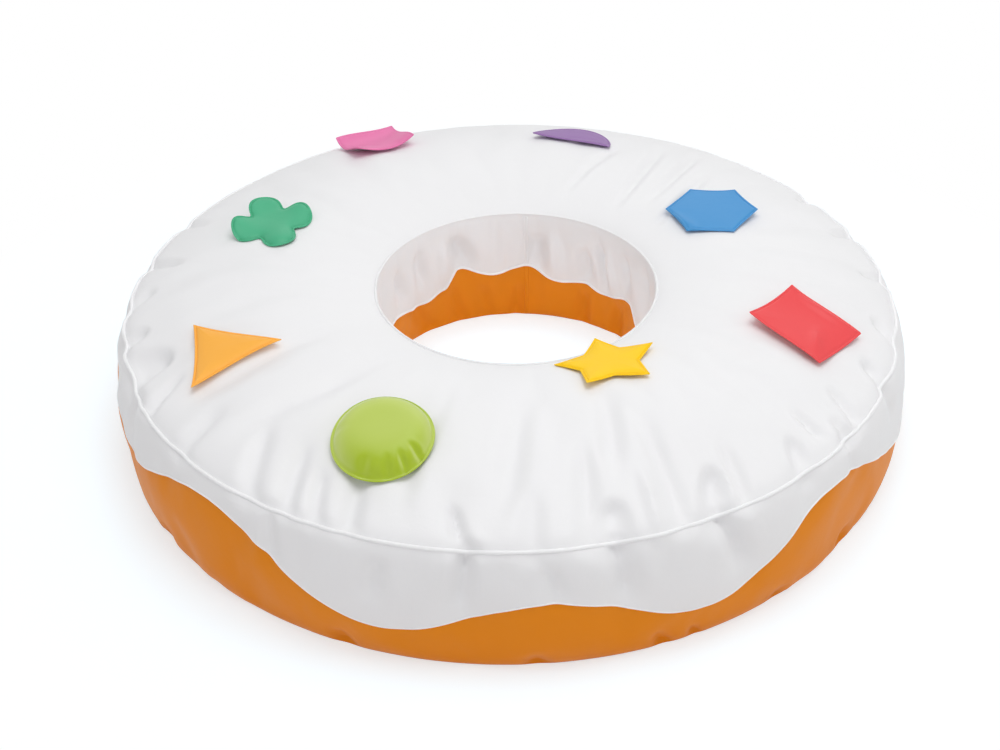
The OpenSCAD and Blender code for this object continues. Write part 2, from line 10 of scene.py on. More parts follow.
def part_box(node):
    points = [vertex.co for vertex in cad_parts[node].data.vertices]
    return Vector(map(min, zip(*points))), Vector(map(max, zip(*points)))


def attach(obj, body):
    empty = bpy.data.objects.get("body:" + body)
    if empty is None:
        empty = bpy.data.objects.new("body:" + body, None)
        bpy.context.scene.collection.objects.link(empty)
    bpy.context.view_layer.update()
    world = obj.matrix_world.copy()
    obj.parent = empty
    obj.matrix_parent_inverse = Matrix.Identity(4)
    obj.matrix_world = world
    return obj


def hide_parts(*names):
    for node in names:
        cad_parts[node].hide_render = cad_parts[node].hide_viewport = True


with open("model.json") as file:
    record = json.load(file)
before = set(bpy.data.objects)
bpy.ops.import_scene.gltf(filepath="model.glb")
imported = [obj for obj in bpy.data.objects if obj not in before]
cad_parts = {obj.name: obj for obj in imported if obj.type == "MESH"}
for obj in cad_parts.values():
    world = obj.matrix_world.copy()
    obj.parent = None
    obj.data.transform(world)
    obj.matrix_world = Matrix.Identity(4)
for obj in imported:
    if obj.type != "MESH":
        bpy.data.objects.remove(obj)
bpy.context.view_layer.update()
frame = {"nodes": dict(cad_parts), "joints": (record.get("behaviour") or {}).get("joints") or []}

MM = 0.001
TURN = 2 * math.pi


def placed(name, data):
    """A new object in the scene."""
    made = bpy.data.objects.new(name, data)
    bpy.context.scene.collection.objects.link(made)
    return made


def unit(vectors):
    """Vectors brought to length 1."""
    return vectors / np.linalg.norm(vectors, axis=-1, keepdims=True)


def circle(sides, first, second):
    """Directions round the circle that two unit vectors span."""
    turn = np.arange(sides) * TURN / sides
    return np.cos(turn)[:, None] * first + np.sin(turn)[:, None] * second


# Camera

CAMERA_AT = Vector((0.0, -2.0144, 1.4842))
CAMERA_AIM = Vector((-0.0149, -0.0632, 0.087))
CAMERA_ROLL = -1.1257
# Focal length and width of the sensor, in millimetres
CAMERA_LENS = 56.17
SENSOR_W = 36


def make_camera():
    """The photograph's view: the camera stands in front of the seat and looks down on it."""
    roll = math.radians(CAMERA_ROLL)
    forward = (CAMERA_AIM - CAMERA_AT).normalized()
    right = forward.cross(Vector((0, 0, 1))).normalized()
    up = right.cross(forward)
    tilted_right = math.cos(roll) * right + math.sin(roll) * up
    tilted_up = math.cos(roll) * up - math.sin(roll) * right
    data = bpy.data.cameras.new("camera")
    data.sensor_width = SENSOR_W
    data.lens = CAMERA_LENS
    camera = placed("camera", data)
    facing = Matrix((tilted_right, tilted_up, -forward)).transposed().to_4x4()
    camera.matrix_world = Matrix.Translation(CAMERA_AT) @ facing
    bpy.context.scene.camera = camera


# Materials

def node(tree, kind, inputs=None, **settings):
    """A new shader node; an input's value is a number, a colour or another node's output."""
    made = tree.nodes.new(kind)
    for key, value in settings.items():
        setattr(made, key, value)
    for key, value in (inputs or {}).items():
        if isinstance(value, bpy.types.NodeSocket):
            tree.links.new(value, made.inputs[key])
        else:
            made.inputs[key].default_value = value
    return made


def new_material(name):
    """A node material, its tree, its Principled shader and the place on the object."""
    material = bpy.data.materials.new(name)
    material.use_nodes = True
    tree = material.node_tree
    where = node(tree, "ShaderNodeTexCoord").outputs["Object"]
    return material, tree, tree.nodes["Principled BSDF"], where


def shade(colour, factor):
    """A colour made lighter or darker, as four numbers."""
    return tuple(min(c * factor, 1) for c in colour[:3]) + (1,)


def noise(tree, where, scale, detail=3.0, distortion=0.0):
    """A noise that drifts from 0 to 1 over the surface."""
    return node(tree, "ShaderNodeTexNoise", {
        "Vector": where, "Scale": scale, "Detail": detail, "Distortion": distortion,
    }).outputs["Fac"]


def mixed(tree, share, first, second):
    """The first colour where the share is 0, and the second where it is 1."""
    return node(tree, "ShaderNodeMix", {
        "Factor": share, "A": first, "B": second,
    }, data_type="RGBA").outputs["Result"]


def larger(tree, first, second):
    """The larger of two values."""
    return node(tree, "ShaderNodeMath", {0: first, 1: second}, operation="MAXIMUM").outputs[0]


def two_tones(tree, where, colour, spread, scale):
    """A colour that drifts a little over the surface."""
    drift = noise(tree, where, scale)
    return mixed(tree, drift, shade(colour, 1 - spread), shade(colour, 1 + spread))


def mapped(tree, value, low, high):
    """A 0 to 1 value brought into a range."""
    return node(tree, "ShaderNodeMapRange", {
        "Value": value, "To Min": low, "To Max": high,
    }).outputs["Result"]


def bumped(tree, height, strength, distance, normal=None):
    """A normal with small bumps, laid over another normal where one is given."""
    inputs = {"Height": height, "Strength": strength, "Distance": distance}
    if normal is not None:
        inputs["Normal"] = normal
    return node(tree, "ShaderNodeBump", inputs).outputs["Normal"]


def connect(tree, shader, paint, rough, normal):
    """Gives a shader its colour, its roughness and its normal."""
    for name, value in (("Base Color", paint), ("Roughness", rough), ("Normal", normal)):
        tree.links.new(value, shader.inputs[name])


# How often the coating's pebbles, creases, wear and tones repeat in a metre
GRAIN_SCALE = 850.0
CREASE_SCALE = 70.0
WEAR_SCALE = 9.0
TONE_SCALE = 5.0
# Slants between which the painted sheen, a paler colour, comes in
PAINTED_SHEEN_SLANTS = (0.06, 0.36)


def painted_sheen_aslant(tree, face_on, sheen_colour):
    """Painted sheen: a colour that turns paler where the surface is seen at a slant."""
    facing = node(tree, "ShaderNodeLayerWeight", {"Blend": 0.5}).outputs["Facing"]
    share = node(tree, "ShaderNodeMapRange", {
        "Value": facing, "From Min": PAINTED_SHEEN_SLANTS[0], "From Max": PAINTED_SHEEN_SLANTS[1],
    }).outputs["Result"]
    return mixed(tree, share, face_on, sheen_colour)


def leatherette(name, colour, rough, spread=0.025, specular=0.5, sheen=0.0, painted_sheen=None):
    """Coated cloth: a fine pebbled grain, faint creases and a satin gloss that varies;
    painted_sheen, if given, is a paler colour painted where it is seen at a slant, standing in
    for sheen."""
    material, tree, shader, where = new_material(name)
    pebbles = node(tree, "ShaderNodeTexVoronoi", {
        "Vector": where, "Scale": GRAIN_SCALE, "Randomness": 0.9,
    }, feature="SMOOTH_F1").outputs["Distance"]
    creases = bumped(tree, noise(tree, where, CREASE_SCALE, 4.0, 0.6), 0.25, 0.0012)
    paint = two_tones(tree, where, colour, spread, TONE_SCALE)
    # Painted sheen: a paler colour where the surface is seen at a slant
    if painted_sheen:
        paint = painted_sheen_aslant(tree, paint, two_tones(tree, where, painted_sheen, spread, TONE_SCALE))
    connect(tree, shader, paint, mapped(tree, noise(tree, where, WEAR_SCALE), *rough),
            bumped(tree, pebbles, 0.1, 0.0004, creases))
    shader.inputs["Specular IOR Level"].default_value = specular
    shader.inputs["Sheen Weight"].default_value = sheen
    shader.inputs["Sheen Roughness"].default_value = 0.4
    return material


def cloth(name, colour, threads):
    """Plain woven cloth: two crossed sets of threads, counted in a metre."""
    material, tree, shader, where = new_material(name)
    warp, weft = [
        node(tree, "ShaderNodeTexWave", {
            "Vector": where, "Scale": threads, "Distortion": 0.4,
        }, bands_direction=way).outputs["Fac"]
        for way in "XY"
    ]
    connect(tree, shader, two_tones(tree, where, colour, 0.08, 30.0),
            mapped(tree, noise(tree, where, 60.0, 4.0), 0.75, 0.9),
            bumped(tree, larger(tree, warp, weft), 0.4, 0.0003))
    shader.inputs["Sheen Weight"].default_value = 0.2
    return material


def pile(name, colour, scale):
    """The fine tufts of a hook or loop patch, with painted shade between the tufts."""
    material, tree, shader, where = new_material(name)
    tufts = node(tree, "ShaderNodeTexVoronoi", {
        "Vector": where, "Scale": scale,
    }).outputs["Distance"]
    # Lighter on the tufts and darker between them: painted shade
    connect(tree, shader, mixed(tree, tufts, shade(colour, 1.04), shade(colour, 0.7)),
            mapped(tree, tufts, 0.75, 0.95), bumped(tree, tufts, 0.8, 0.0006))
    shader.inputs["Sheen Weight"].default_value = 0.3
    return material


def hard(name, colour, metallic, rough):
    """Moulded plastic or painted metal, finely scratched."""
    material, tree, shader, where = new_material(name)
    scratches = noise(tree, where, 400.0, 5.0, 1.5)
    connect(tree, shader, two_tones(tree, where, colour, 0.06, 120.0),
            mapped(tree, scratches, *rough), bumped(tree, scratches, 0.15, 0.0002))
    shader.inputs["Metallic"].default_value = metallic
    return material


WHITE = leatherette("white_leatherette", (0.845, 0.845, 0.855), rough=(0.44, 0.58),
                    spread=0.012, specular=0.35)
ORANGE = leatherette("orange_leatherette", (0.79, 0.245, 0.007), rough=(0.4, 0.52),
                     specular=0.12)
# The white coating made lighter: a painted highlight on the rim's piping and the rolled edges
LIGHTER_WHITE = leatherette("white_leatherette_painted_lighter", (0.90, 0.90, 0.91), rough=(0.3, 0.4), spread=0.01)
PAD_COLOURS = {
    "pink": (0.82, 0.21, 0.44),
    "purple": (0.31, 0.17, 0.41),
    "blue": (0.065, 0.30, 0.63),
    "red": (0.84, 0.068, 0.074),
    "yellow": (1.0, 0.62, 0.01),
    "lime": (0.385, 0.52, 0.010),
    "light_orange": (0.98, 0.46, 0.065),
    "green": (0.075, 0.44, 0.24),
}
# Gloss and sheen of the pads that differ from the rest, and their painted sheen at a slant
PAD_GLOSS = {"lime": 0.5, "yellow": 0.2, "red": 0.4}
PAD_SHEEN = {"lime": 0.5}
PAD_PAINTED_SHEEN = {"lime": (0.51, 0.625, 0.125)}
PAD_LEATHER = {
    key: leatherette(key + "_leatherette", colour, rough=(0.38, 0.48),
                     specular=PAD_GLOSS.get(key, 0.28), sheen=PAD_SHEEN.get(key, 0.0),
                     painted_sheen=PAD_PAINTED_SHEEN.get(key))
    for key, colour in PAD_COLOURS.items()
}
BAG = cloth("bag_cloth", (0.78, 0.77, 0.73), 1400.0)
TAPE = cloth("zip_tape", (0.10, 0.10, 0.11), 2200.0)
LOOPS = pile("loop_pile", (0.80, 0.79, 0.77), 900.0)
HOOKS = pile("hook_pile", (0.76, 0.75, 0.73), 1200.0)
TEETH = hard("zip_plastic", (0.10, 0.10, 0.11), 0.0, (0.3, 0.45))
SLIDER = hard("zip_metal", (0.12, 0.12, 0.13), 0.6, (0.3, 0.5))


# Sizes taken from the frame

def circle_of(cord):
    """Radius and height of the circle that a round cord runs along."""
    low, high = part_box(cord)
    half = (high.z - low.z) / 2
    return high.x - half, low.z + half


RIM_R, RIM_H = circle_of("rim_piping_cord")
HOLE_R, HOLE_H = circle_of("hole_piping_cord")
FLOOR_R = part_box("base_panel")[1].x
TOP_W = RIM_R - HOLE_R
# Rise of the top's middle; its highest place lies a little above that
CREST_OVER_MIDDLE = 0.9 * MM
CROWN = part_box("top_panel")[1].z - (RIM_H + HOLE_H) / 2 - CREST_OVER_MIDDLE
WALL_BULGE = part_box("outer_wall")[1].x - (RIM_R + FLOOR_R) / 2
HOLE_FLARE = 24 * MM
HOLE_BULGE = 4 * MM
# The hole lies a little off the ring's middle, as the photograph shows
HOLE_OFF = np.array([11.6, 1.0]) * MM

COVER_T = 1.4 * MM
BAND_T = 1.4 * MM
RIM_PIPING_R = 2.7 * MM
HOLE_PIPING_R = 2.0 * MM


# The ring's surface: a grid of rows along its profile and columns round it

COLUMNS = 720
TOP_ROWS = 72
WALL_ROWS = 36
HOLE_ROWS = 40
# Radii of the rows on the base; two of them are the edges of the zip's slit
SLIT_W = 14 * MM
ZIP_MIDDLE_R = FLOOR_R - 129.6 * MM
BASE_R = np.concatenate([
    np.linspace(FLOOR_R, ZIP_MIDDLE_R + SLIT_W / 2, 6),
    np.linspace(ZIP_MIDDLE_R - SLIT_W / 2, HOLE_R + HOLE_FLARE, 9),
])
SLIT_ROW = 5
SLIT_PAST_TEETH = 8 * MM
ZIP_AZ = 90
BASE_ROWS = len(BASE_R) - 1

RIM = TOP_ROWS
FOOT = RIM + WALL_ROWS
HOLE_FOOT = FOOT + BASE_ROWS
ROWS = HOLE_FOOT + HOLE_ROWS
AZ = np.degrees(np.arange(COLUMNS) * TURN / COLUMNS)


def wrapped(degrees):
    """Angles brought between -180 and 180."""
    return (degrees + 180) % 360 - 180


def fade(x):
    """0 below 0, 1 above 1 and smooth between them."""
    x = np.clip(x, 0, 1)
    return x * x * (3 - 2 * x)


def top_height(share):
    """Height of the top at a share of the way from the hole to the rim."""
    return HOLE_H + (RIM_H - HOLE_H) * share + CROWN * 4 * share * (1 - share)


# Distances from a seam over which the cover swells and then comes back to its line
SWELL_IN = 9 * MM
SWELL_OUT = 55 * MM
# How far it swells on each panel: the top at the rim and at the hole, and the two walls
RIM_SWELL = 7 * MM
HOLE_EDGE_SWELL = 4 * MM
WALL_SWELL = 4 * MM
HOLE_WALL_SWELL = 3 * MM


def swell(distance, rise):
    """How far the filled cover swells beside a seam, at distances from it."""
    return rise * (1 - np.exp(-distance / SWELL_IN)) * np.exp(-distance / SWELL_OUT)


def swell_between(share, length, rise):
    """The same for a panel that swells alike at both its seams."""
    return swell(share * length, rise) + swell((1 - share) * length, rise)


def profile():
    """Radius and height of each row: top, outer wall, base and the hole's wall."""
    t = np.arange(TOP_ROWS) / TOP_ROWS
    s = np.arange(WALL_ROWS) / WALL_ROWS
    h = 1 - np.arange(HOLE_ROWS) / HOLE_ROWS
    top_swell = swell((1 - t) * TOP_W, RIM_SWELL) + swell(t * TOP_W, HOLE_EDGE_SWELL)
    wall_swell = swell_between(s, RIM_H, WALL_SWELL)
    hole_swell = swell_between(h, HOLE_H, HOLE_WALL_SWELL)
    radius = np.concatenate([
        HOLE_R + TOP_W * t,
        RIM_R + (FLOOR_R - RIM_R) * s + WALL_BULGE * 4 * s * (1 - s) + wall_swell,
        BASE_R[:-1],
        HOLE_R + HOLE_FLARE * h - HOLE_BULGE * 4 * h * (1 - h) - hole_swell,
    ])
    height = np.concatenate([
        top_height(t) + top_swell, RIM_H * (1 - s), np.zeros(BASE_ROWS), HOLE_H * (1 - h),
    ])
    return radius, height


PROFILE_R, PROFILE_Z = profile()
STEPS = np.hypot(np.diff(PROFILE_R, append=PROFILE_R[:1]),
                 np.diff(PROFILE_Z, append=PROFILE_Z[:1]))
# Distance of each row along the profile from the hole's top edge, and once round it
ALONG = np.concatenate([[0], np.cumsum(STEPS)])


def smooth_ring():
    """The ring without folds, as an array of rows, columns and coordinates."""
    angle = np.radians(AZ)
    return np.stack([
        np.outer(PROFILE_R, np.cos(angle)),
        np.outer(PROFILE_R, np.sin(angle)),
        np.repeat(PROFILE_Z[:, None], COLUMNS, 1),
    ], -1)


def normals(grid):
    """Outward normals of a grid that closes on itself both ways."""
    down = np.roll(grid, -1, 0) - np.roll(grid, 1, 0)
    round_ = np.roll(grid, -1, 1) - np.roll(grid, 1, 1)
    return unit(np.cross(down, round_))


def row_at(place):
    """Row, with a fraction, of a place on the profile: 0 to 1 across the top, 1 to 2 down
    the outer wall, and 3 to 4 up the hole's wall."""
    if place <= 1:
        return place * TOP_ROWS
    if place <= 2:
        return RIM + (place - 1) * WALL_ROWS
    return HOLE_FOOT + (place - 3) * HOLE_ROWS


def along_at(place):
    """Distance along the profile of such a place."""
    return float(np.interp(row_at(place), np.arange(ROWS + 1), ALONG))


# Folds seen in the photograph. Each runs from one direction and place to another, with the
# half widths and the depths of its valley at the two ends in millimetres. A depth below 0
# makes it a ridge.
FOLDS = [
    # Valleys over the piping at the front right
    (-55.8, 0.72, -58.9, 0.99, 12, 15, 4, 6),
    (-70.2, 0.70, -71.8, 1, 10, 12, -3, -5),
    (-68.6, 0.26, -75.6, 0.80, 16, 21, 4, 7),
    (-77.6, 0.52, -80.6, 0.99, 15, 19, 4, 6),
    (-65.4, 0.46, -68.2, 0.99, 14, 18, 4, 6),
    # Front and front left
    (-87, 0.74, -87.6, 1, 15, 20, 2, 5),
    (-132.6, 0.70, -126, 0.99, 15, 20, 3, 7),
    (-113.6, 0.72, -111, 0.98, 14, 18, 4, 7),
    (-119.2, 0.78, -115.6, 0.99, 11, 14, 4, 6),
    (-124.4, 0.70, -120.3, 0.98, 13, 17, 4, 7),
    (-136.2, 0.92, -129, 0.22, 24, 20, 4, 2),
    (-104.7, 0.95, -108.2, 0.36, 19, 16, 4, 2),
    (-145.9, 0.92, -149.9, 0.22, 23, 18, 5, 2),
    (-141.4, 0.76, -140, 1, 14, 19, 3, 7),
    # Left
    (-154, 0.80, -150.5, 0.98, 9, 13, 4, 7),
    (172, 0.80, 170, 1, 11, 16, 4, 8),
    (158, 0.84, 157, 1, 11, 16, 3, 7),
    # Right
    (2.6, 0.88, 2.6, 1, 11, 15, 5, 9),
    (-32.6, 0.82, -35.4, 0.98, 10, 13, 5, 8),
    (-37.8, 0.90, -39, 1, 9, 14, 4, 9),
    (-40.9, 0.76, -42.6, 0.97, 9, 11, 4, 8),
    (15, 0.86, 16, 1, 10, 16, 4, 9),
    (27, 0.88, 29, 1, 10, 16, 3, 7),
    # Long shallow valleys across the back right of the top
    (72, 0.08, 64, 0.70, 9, 13, 3, 4),
    (50.3, 0.04, 58, 0.86, 9, 14, 5, 5),
    (42.4, 0.14, 52, 0.94, 9, 14, 4, 5),
    (31.9, 0.08, 43.5, 0.70, 9, 13, 4, 4),
    # One more across the front of the top
    (-88.6, 0.26, -91.6, 0.96, 19, 24, 3, 5),
    # White band under the piping
    (-97, 1.52, -95.5, 1, 24, 14, 6, 10),
    (-76, 1.52, -77, 1, 26, 18, 7, 11),
    (-59.6, 1.52, -62.8, 1, 24, 17, 7, 11),
    (-108, 1.46, -106, 1.06, 22, 16, 5, 6),
    (-84, 1.42, -86, 1.05, 20, 15, 4, 6),
    (-121, 1.40, -122, 1, 18, 14, 3, 5),
    (-156, 1.40, -154.4, 1, 18, 14, 3, 7),
    (-24, 1.36, -25, 1, 18, 15, 3, 8),
    (-40, 1.30, -39, 1, 16, 13, 2, 6),
    # Notches at the foot of the outer wall
    (-72.4, 1.80, -70.5, 2, 12, 15, 3, 8),
    (-66.9, 1.86, -66, 2, 9, 12, 3, 7),
    (-113, 1.80, -112, 2, 14, 20, 3, 7),
    (-144.5, 1.82, -146, 2, 14, 18, 3, 7),
    (-38, 1.80, -38, 2, 14, 18, 3, 7),
    (-52, 1.84, -53, 2, 12, 16, 2, 5),
    (-88, 1.84, -87, 2, 14, 18, 2, 5),
    # Folds on the hole's wall
    (119, 3.90, 108.5, 3.50, 17, 25, 17, 14),
    (124.5, 3.92, 121.5, 3.42, 14, 17, -8, -7),
    (81, 3.86, 81.5, 3.44, 19, 25, 15, 12),
    (72.5, 3.90, 73.5, 3.36, 14, 17, -8, -7),
    (59, 3.82, 56.5, 3.38, 16, 19, 13, 11),
    (50, 3.90, 48.5, 3.38, 13, 14, 10, 9),
    (45.8, 3.92, 44.5, 3.34, 11, 12, -7, -7),
    (36, 3.90, 34, 3.46, 17, 20, 12, 9),
    (22, 3.94, 12, 3.60, 18, 21, 7, 5),
    (152.5, 3.86, 146, 3.42, 17, 20, 13, 10),
    (138, 3.90, 133, 3.46, 16, 19, 12, 9),
    (170, 3.90, 163, 3.42, 18, 20, 7, 5),
    (138, 3.40, 128, 3, 14, 20, 5, 6),
    (118, 3.40, 114, 3, 13, 17, 5, 6),
    (104, 3.38, 101, 3, 14, 19, 4, 5),
    (88, 3.34, 90, 3, 11, 13, 4, 6),
    (60, 3.36, 62, 3, 13, 15, 6, 7),
    (43, 3.36, 45, 3, 12, 14, 5, 7),
]

# Cups that the piping pulls into the edge of the top: direction and place of the arched end,
# direction of the middle at the piping, half width there and depth in millimetres, and how
# firmly the piping stays in its line
CUPS = [
    (-76.2, 0.83, -77.6, 36, 20, 0.4),
    (-60.2, 0.80, -63.7, 32, 19, 0.4),
    (-46, 0.85, -48.6, 25, 15, 0.4),
    (-98.8, 0.82, -96, 16, 15, 0.4),
    (-160.7, 0.81, -160.3, 50, 22, 0.45),
    (-169.2, 0.89, -168.6, 25, 15, 0.4),
    (179, 0.89, -178, 28, 13, 0.4),
    (-22.6, 0.88, -24.8, 27, 18, 0.45),
    (-10.4, 0.89, -13.6, 30, 14, 0.4),
]

# Width of a cup's arched end, as a share of its length, and how crisp its sides are
CUP_END = 0.34
CUP_CRISP = 1.15
# Distances over which a cup dies out below the piping, and the piping holds it
CUP_BELOW = 22 * MM
CUP_HELD = 12 * MM


def cup_depth():
    """How far the cups lie below the smooth ring at every grid point, in metres."""
    radius = PROFILE_R[:, None]
    along = ALONG[:-1, None]
    rim = along_at(1.0)
    depth = np.zeros((ROWS, COLUMNS))
    for az_end, place_end, az_rim, half_width, deep, held in CUPS:
        start = along_at(place_end)
        reach = (along - start) / (rim - start)
        lean = wrapped(az_rim - az_end) * np.clip(reach, 0, 1)
        off = np.radians(wrapped(AZ - az_end - lean)) * radius
        width = half_width * MM * np.sqrt(np.clip(reach, 0.05, 1))
        cross = np.clip(1 - (off / width) ** 2, 0, None) ** CUP_CRISP
        past = np.clip(along - rim, 0, None) / CUP_BELOW
        piping = 1 - held * np.exp(-((along - rim) / CUP_HELD) ** 2)
        depth += deep * MM * cross * fade(reach / CUP_END) * np.exp(-past ** 2) * piping
    return blurred(blurred(depth, 1, 0.9), 0, 0.5)


# How many times as deep as written above the folds are on the top and the upper wall
FOLD_GAIN = 1.5
# How far a fold's banks rise over the smooth ring, as a share of its depth
FOLD_BANKS = 0.8
# Share of its length in which a fold that ends inside a panel fades out, and how near to a
# seam an end may lie to run on over it
FOLD_FADE = 0.4
AT_SEAM = 0.03


def fold_gain():
    """How many times as deep as written above the folds are in each row."""
    at = (0, 6, RIM + WALL_ROWS * 0.4, RIM + WALL_ROWS * 0.8)
    return np.interp(np.arange(ROWS), at, (1, FOLD_GAIN, FOLD_GAIN, 1))


def fold_depth():
    """How far every grid point lies below the smooth ring, in metres."""
    radius = PROFILE_R[:, None]
    along = ALONG[:-1, None]
    depth = np.zeros((ROWS, COLUMNS))
    for az_a, place_a, az_b, place_b, width_a, width_b, depth_a, depth_b in FOLDS:
        start, end = along_at(place_a), along_at(place_b)
        x = np.radians(wrapped(AZ - az_a)) * radius
        dx = math.radians(az_b - az_a) * radius
        # The profile is a loop, so a fold near the hole's edge reaches over it
        y = (along - start + ALONG[-1] / 2) % ALONG[-1] - ALONG[-1] / 2
        dy = end - start
        reach = (x * dx + y * dy) / (dx * dx + dy * dy)
        t = np.clip(reach, 0, 1)
        width = (width_a + (width_b - width_a) * t) * MM
        q = ((x - t * dx) ** 2 + (y - t * dy) ** 2) / width ** 2
        valley = (depth_a + (depth_b - depth_a) * t) * MM * (1 - FOLD_BANKS * q) * np.exp(-q)
        if abs(place_a - round(place_a)) > AT_SEAM:
            valley *= fade(reach / FOLD_FADE)
        if abs(place_b - round(place_b)) > AT_SEAM:
            valley *= fade((1 - reach) / FOLD_FADE)
        depth += valley
    return fold_gain()[:, None] * depth


def blurred(values, axis, spread):
    """Values smoothed along a closed axis; the spread is counted in points."""
    count = values.shape[axis]
    wave = np.fft.rfftfreq(count) * TURN
    shape = [1] * values.ndim
    shape[axis] = len(wave)
    gain = np.exp(-(wave * spread) ** 2 / 2).reshape(shape)
    return np.fft.irfft(np.fft.rfft(values, axis=axis) * gain, count, axis)


# Rows beside a seam that the piping holds, and over how many columns it evens the folds
HELD_ROWS = 1.4
HELD_BLUR = 2.2


def eased_at_seams(values):
    """The piping holds the seams nearly even, so folds are softer along them."""
    rows = np.arange(ROWS)
    near = np.zeros(ROWS)
    for seam in (RIM, 0, ROWS):
        near = np.maximum(near, np.exp(-((rows - seam) / HELD_ROWS) ** 2))
    near = near[:, None]
    return values + near * (blurred(values, 1, HELD_BLUR) - values)


def base_hold():
    """How firmly each row lies on the floor: 1 on the base and 0 on the walls and top."""
    hold = np.zeros(ROWS)
    hold[FOOT + 1:HOLE_FOOT] = 1
    return hold


def mesh_object(name, points, faces, material, sharp=None):
    """A smooth mesh piece of one or more grids of points; its edges that bend more than an
    angle stay sharp, if one is given."""
    mesh = bpy.data.meshes.new(name)
    mesh.from_pydata(np.asarray(points).reshape(-1, 3).tolist(), [], faces)
    mesh.update()
    mesh.polygons.foreach_set("use_smooth", [True] * len(mesh.polygons))
    if sharp:
        mesh.set_sharp_from_angle(angle=math.radians(sharp))
    mesh.materials.append(material)
    return placed(name, mesh)


def quads(*corners):
    """Faces from four arrays, each of one corner."""
    return np.stack(corners, -1).reshape(-1, 4).tolist()


def closed_quads(index, first):
    """Faces of a grid of points that closes both ways, wound along one axis first."""
    return quads(index, np.roll(index, -1, first), np.roll(index, -1, (0, 1)),
                 np.roll(index, -1, 1 - first))


# The trial cloth that wrinkles the cover
CLOTH_FRAMES = 14
CLOTH = {
    "quality": 5, "mass": 0.4, "tension_stiffness": 60, "compression_stiffness": 60,
    "shear_stiffness": 20, "bending_stiffness": 1.5, "tension_damping": 10,
    "compression_damping": 10, "shear_damping": 10, "air_damping": 5,
    "vertex_group_mass": "held", "vertex_group_shrink": "tight",
    "shrink_min": -0.03, "shrink_max": 0.0,
    "use_pressure": True, "uniform_pressure_force": 1.0,
}
# Rows beside a seam over which it keeps the cloth from growing
TIGHT_ROWS = 2.0
WRINKLE_CAP = 7 * MM
# Size of the chance ripples that the cloth starts from
RIPPLE = 0.5 * MM


def trial_cloth(grid):
    """A cloth over a grid of points: its base is held, and it doesn't grow at its seams."""
    rows, columns = grid.shape[:2]
    index = np.arange(rows * columns).reshape(rows, columns)
    piece = mesh_object("cloth", grid, closed_quads(index, 0), WHITE)
    held = piece.vertex_groups.new(name="held")
    tight = piece.vertex_groups.new(name="tight")
    for r, hold in enumerate(base_hold()[::2]):
        seam = min(abs(r - RIM / 2), r, rows - r)
        tight.add(index[r].tolist(), max(math.exp(-(seam / TIGHT_ROWS) ** 2), hold), "REPLACE")
        if hold:
            held.add(index[r].tolist(), 1.0, "REPLACE")
    return piece


def simulated(piece):
    """Where a piece's points lie once it has moved as cloth."""
    modifier = piece.modifiers.new("cloth", "CLOTH")
    for key, value in CLOTH.items():
        setattr(modifier.settings, key, value)
    modifier.settings.effector_weights.gravity = 0
    modifier.collision_settings.use_collision = False
    modifier.point_cache.frame_end = CLOTH_FRAMES
    for step in range(1, CLOTH_FRAMES + 1):
        bpy.context.scene.frame_set(step)
    settled = piece.evaluated_get(bpy.context.evaluated_depsgraph_get()).data
    found = np.zeros(len(settled.vertices) * 3, np.float32)
    settled.vertices.foreach_get("co", found)
    bpy.context.scene.frame_set(1)
    return found


def settle(start):
    """Lets the cover swell over its filling as real cloth, and returns how each point of a
    coarser grid moved apart from the mean of its row, which is what wrinkles it."""
    coarse = start[::2, ::2]
    piece = trial_cloth(coarse)
    found = simulated(piece).reshape(coarse.shape)
    bpy.data.objects.remove(piece)
    moved = ((found - coarse) * normals(coarse)).sum(-1)
    moved -= moved.mean(1, keepdims=True)
    # The cover is stiffer than the trial cloth, so its wrinkles are longer and softer
    return blurred(blurred(moved, 0, 1.3), 1, 0.6)


def wrinkles_kept():
    """Share of the wrinkles that stays: the top is calmer beside the hole and at the back."""
    kept = np.ones((ROWS, COLUMNS))
    across = np.arange(TOP_ROWS) / TOP_ROWS
    front = 0.5 - 0.5 * np.sin(np.radians(AZ))
    kept[:RIM] = np.outer(0.2 + 0.8 * fade(across / 0.6), 0.35 + 0.65 * front)
    return kept


def between(values, axis):
    """Doubles a closed grid along an axis, with a smooth curve through its points."""
    before, after = np.roll(values, 1, axis), np.roll(values, -1, axis)
    beyond = np.roll(values, -2, axis)
    middle = (9 * (values + after) - before - beyond) / 16
    shape = list(values.shape)
    shape[axis] *= 2
    return np.stack([values, middle], axis + 1).reshape(shape)


def set_down(grid):
    """Moves the hole off the middle, and keeps the base flat on the floor."""
    share = np.zeros(ROWS)
    share[:RIM] = 1 - np.arange(TOP_ROWS) / TOP_ROWS
    share[FOOT:HOLE_FOOT] = np.clip((FLOOR_R - BASE_R[:-1]) / (FLOOR_R - BASE_R[-1]), 0, 1)
    share[HOLE_FOOT:] = 1
    moved = grid.copy()
    moved[..., :2] += share[:, None, None] * HOLE_OFF
    moved[..., 2] = np.maximum(moved[..., 2], 0)
    moved[FOOT:HOLE_FOOT + 1, :, 2] = 0
    return moved


def wrinkles(start, out, free):
    random = np.random.default_rng(7)
    ripple = random.normal(0, RIPPLE, (ROWS // 2, COLUMNS // 2))
    seeded = start.copy()
    seeded[::2, ::2] += (ripple * free[::2])[..., None] * out[::2, ::2]
    height = between(between(settle(seeded), 0), 1)
    return eased_at_seams(WRINKLE_CAP * np.tanh(height / WRINKLE_CAP) * wrinkles_kept())


def make_ring():
    """The ring's outer surface with its folds and wrinkles."""
    smooth = smooth_ring()
    out = normals(smooth)
    free = 1 - base_hold()[:, None]
    depth = eased_at_seams(fold_depth() + cup_depth()) * free
    start = smooth - depth[..., None] * out
    return set_down(start + (wrinkles(start, out, free) * free)[..., None] * out)


RING = make_ring()
RING_OUT = normals(RING)
RING_OUT[FOOT + 1:HOLE_FOOT] = (0, 0, -1)


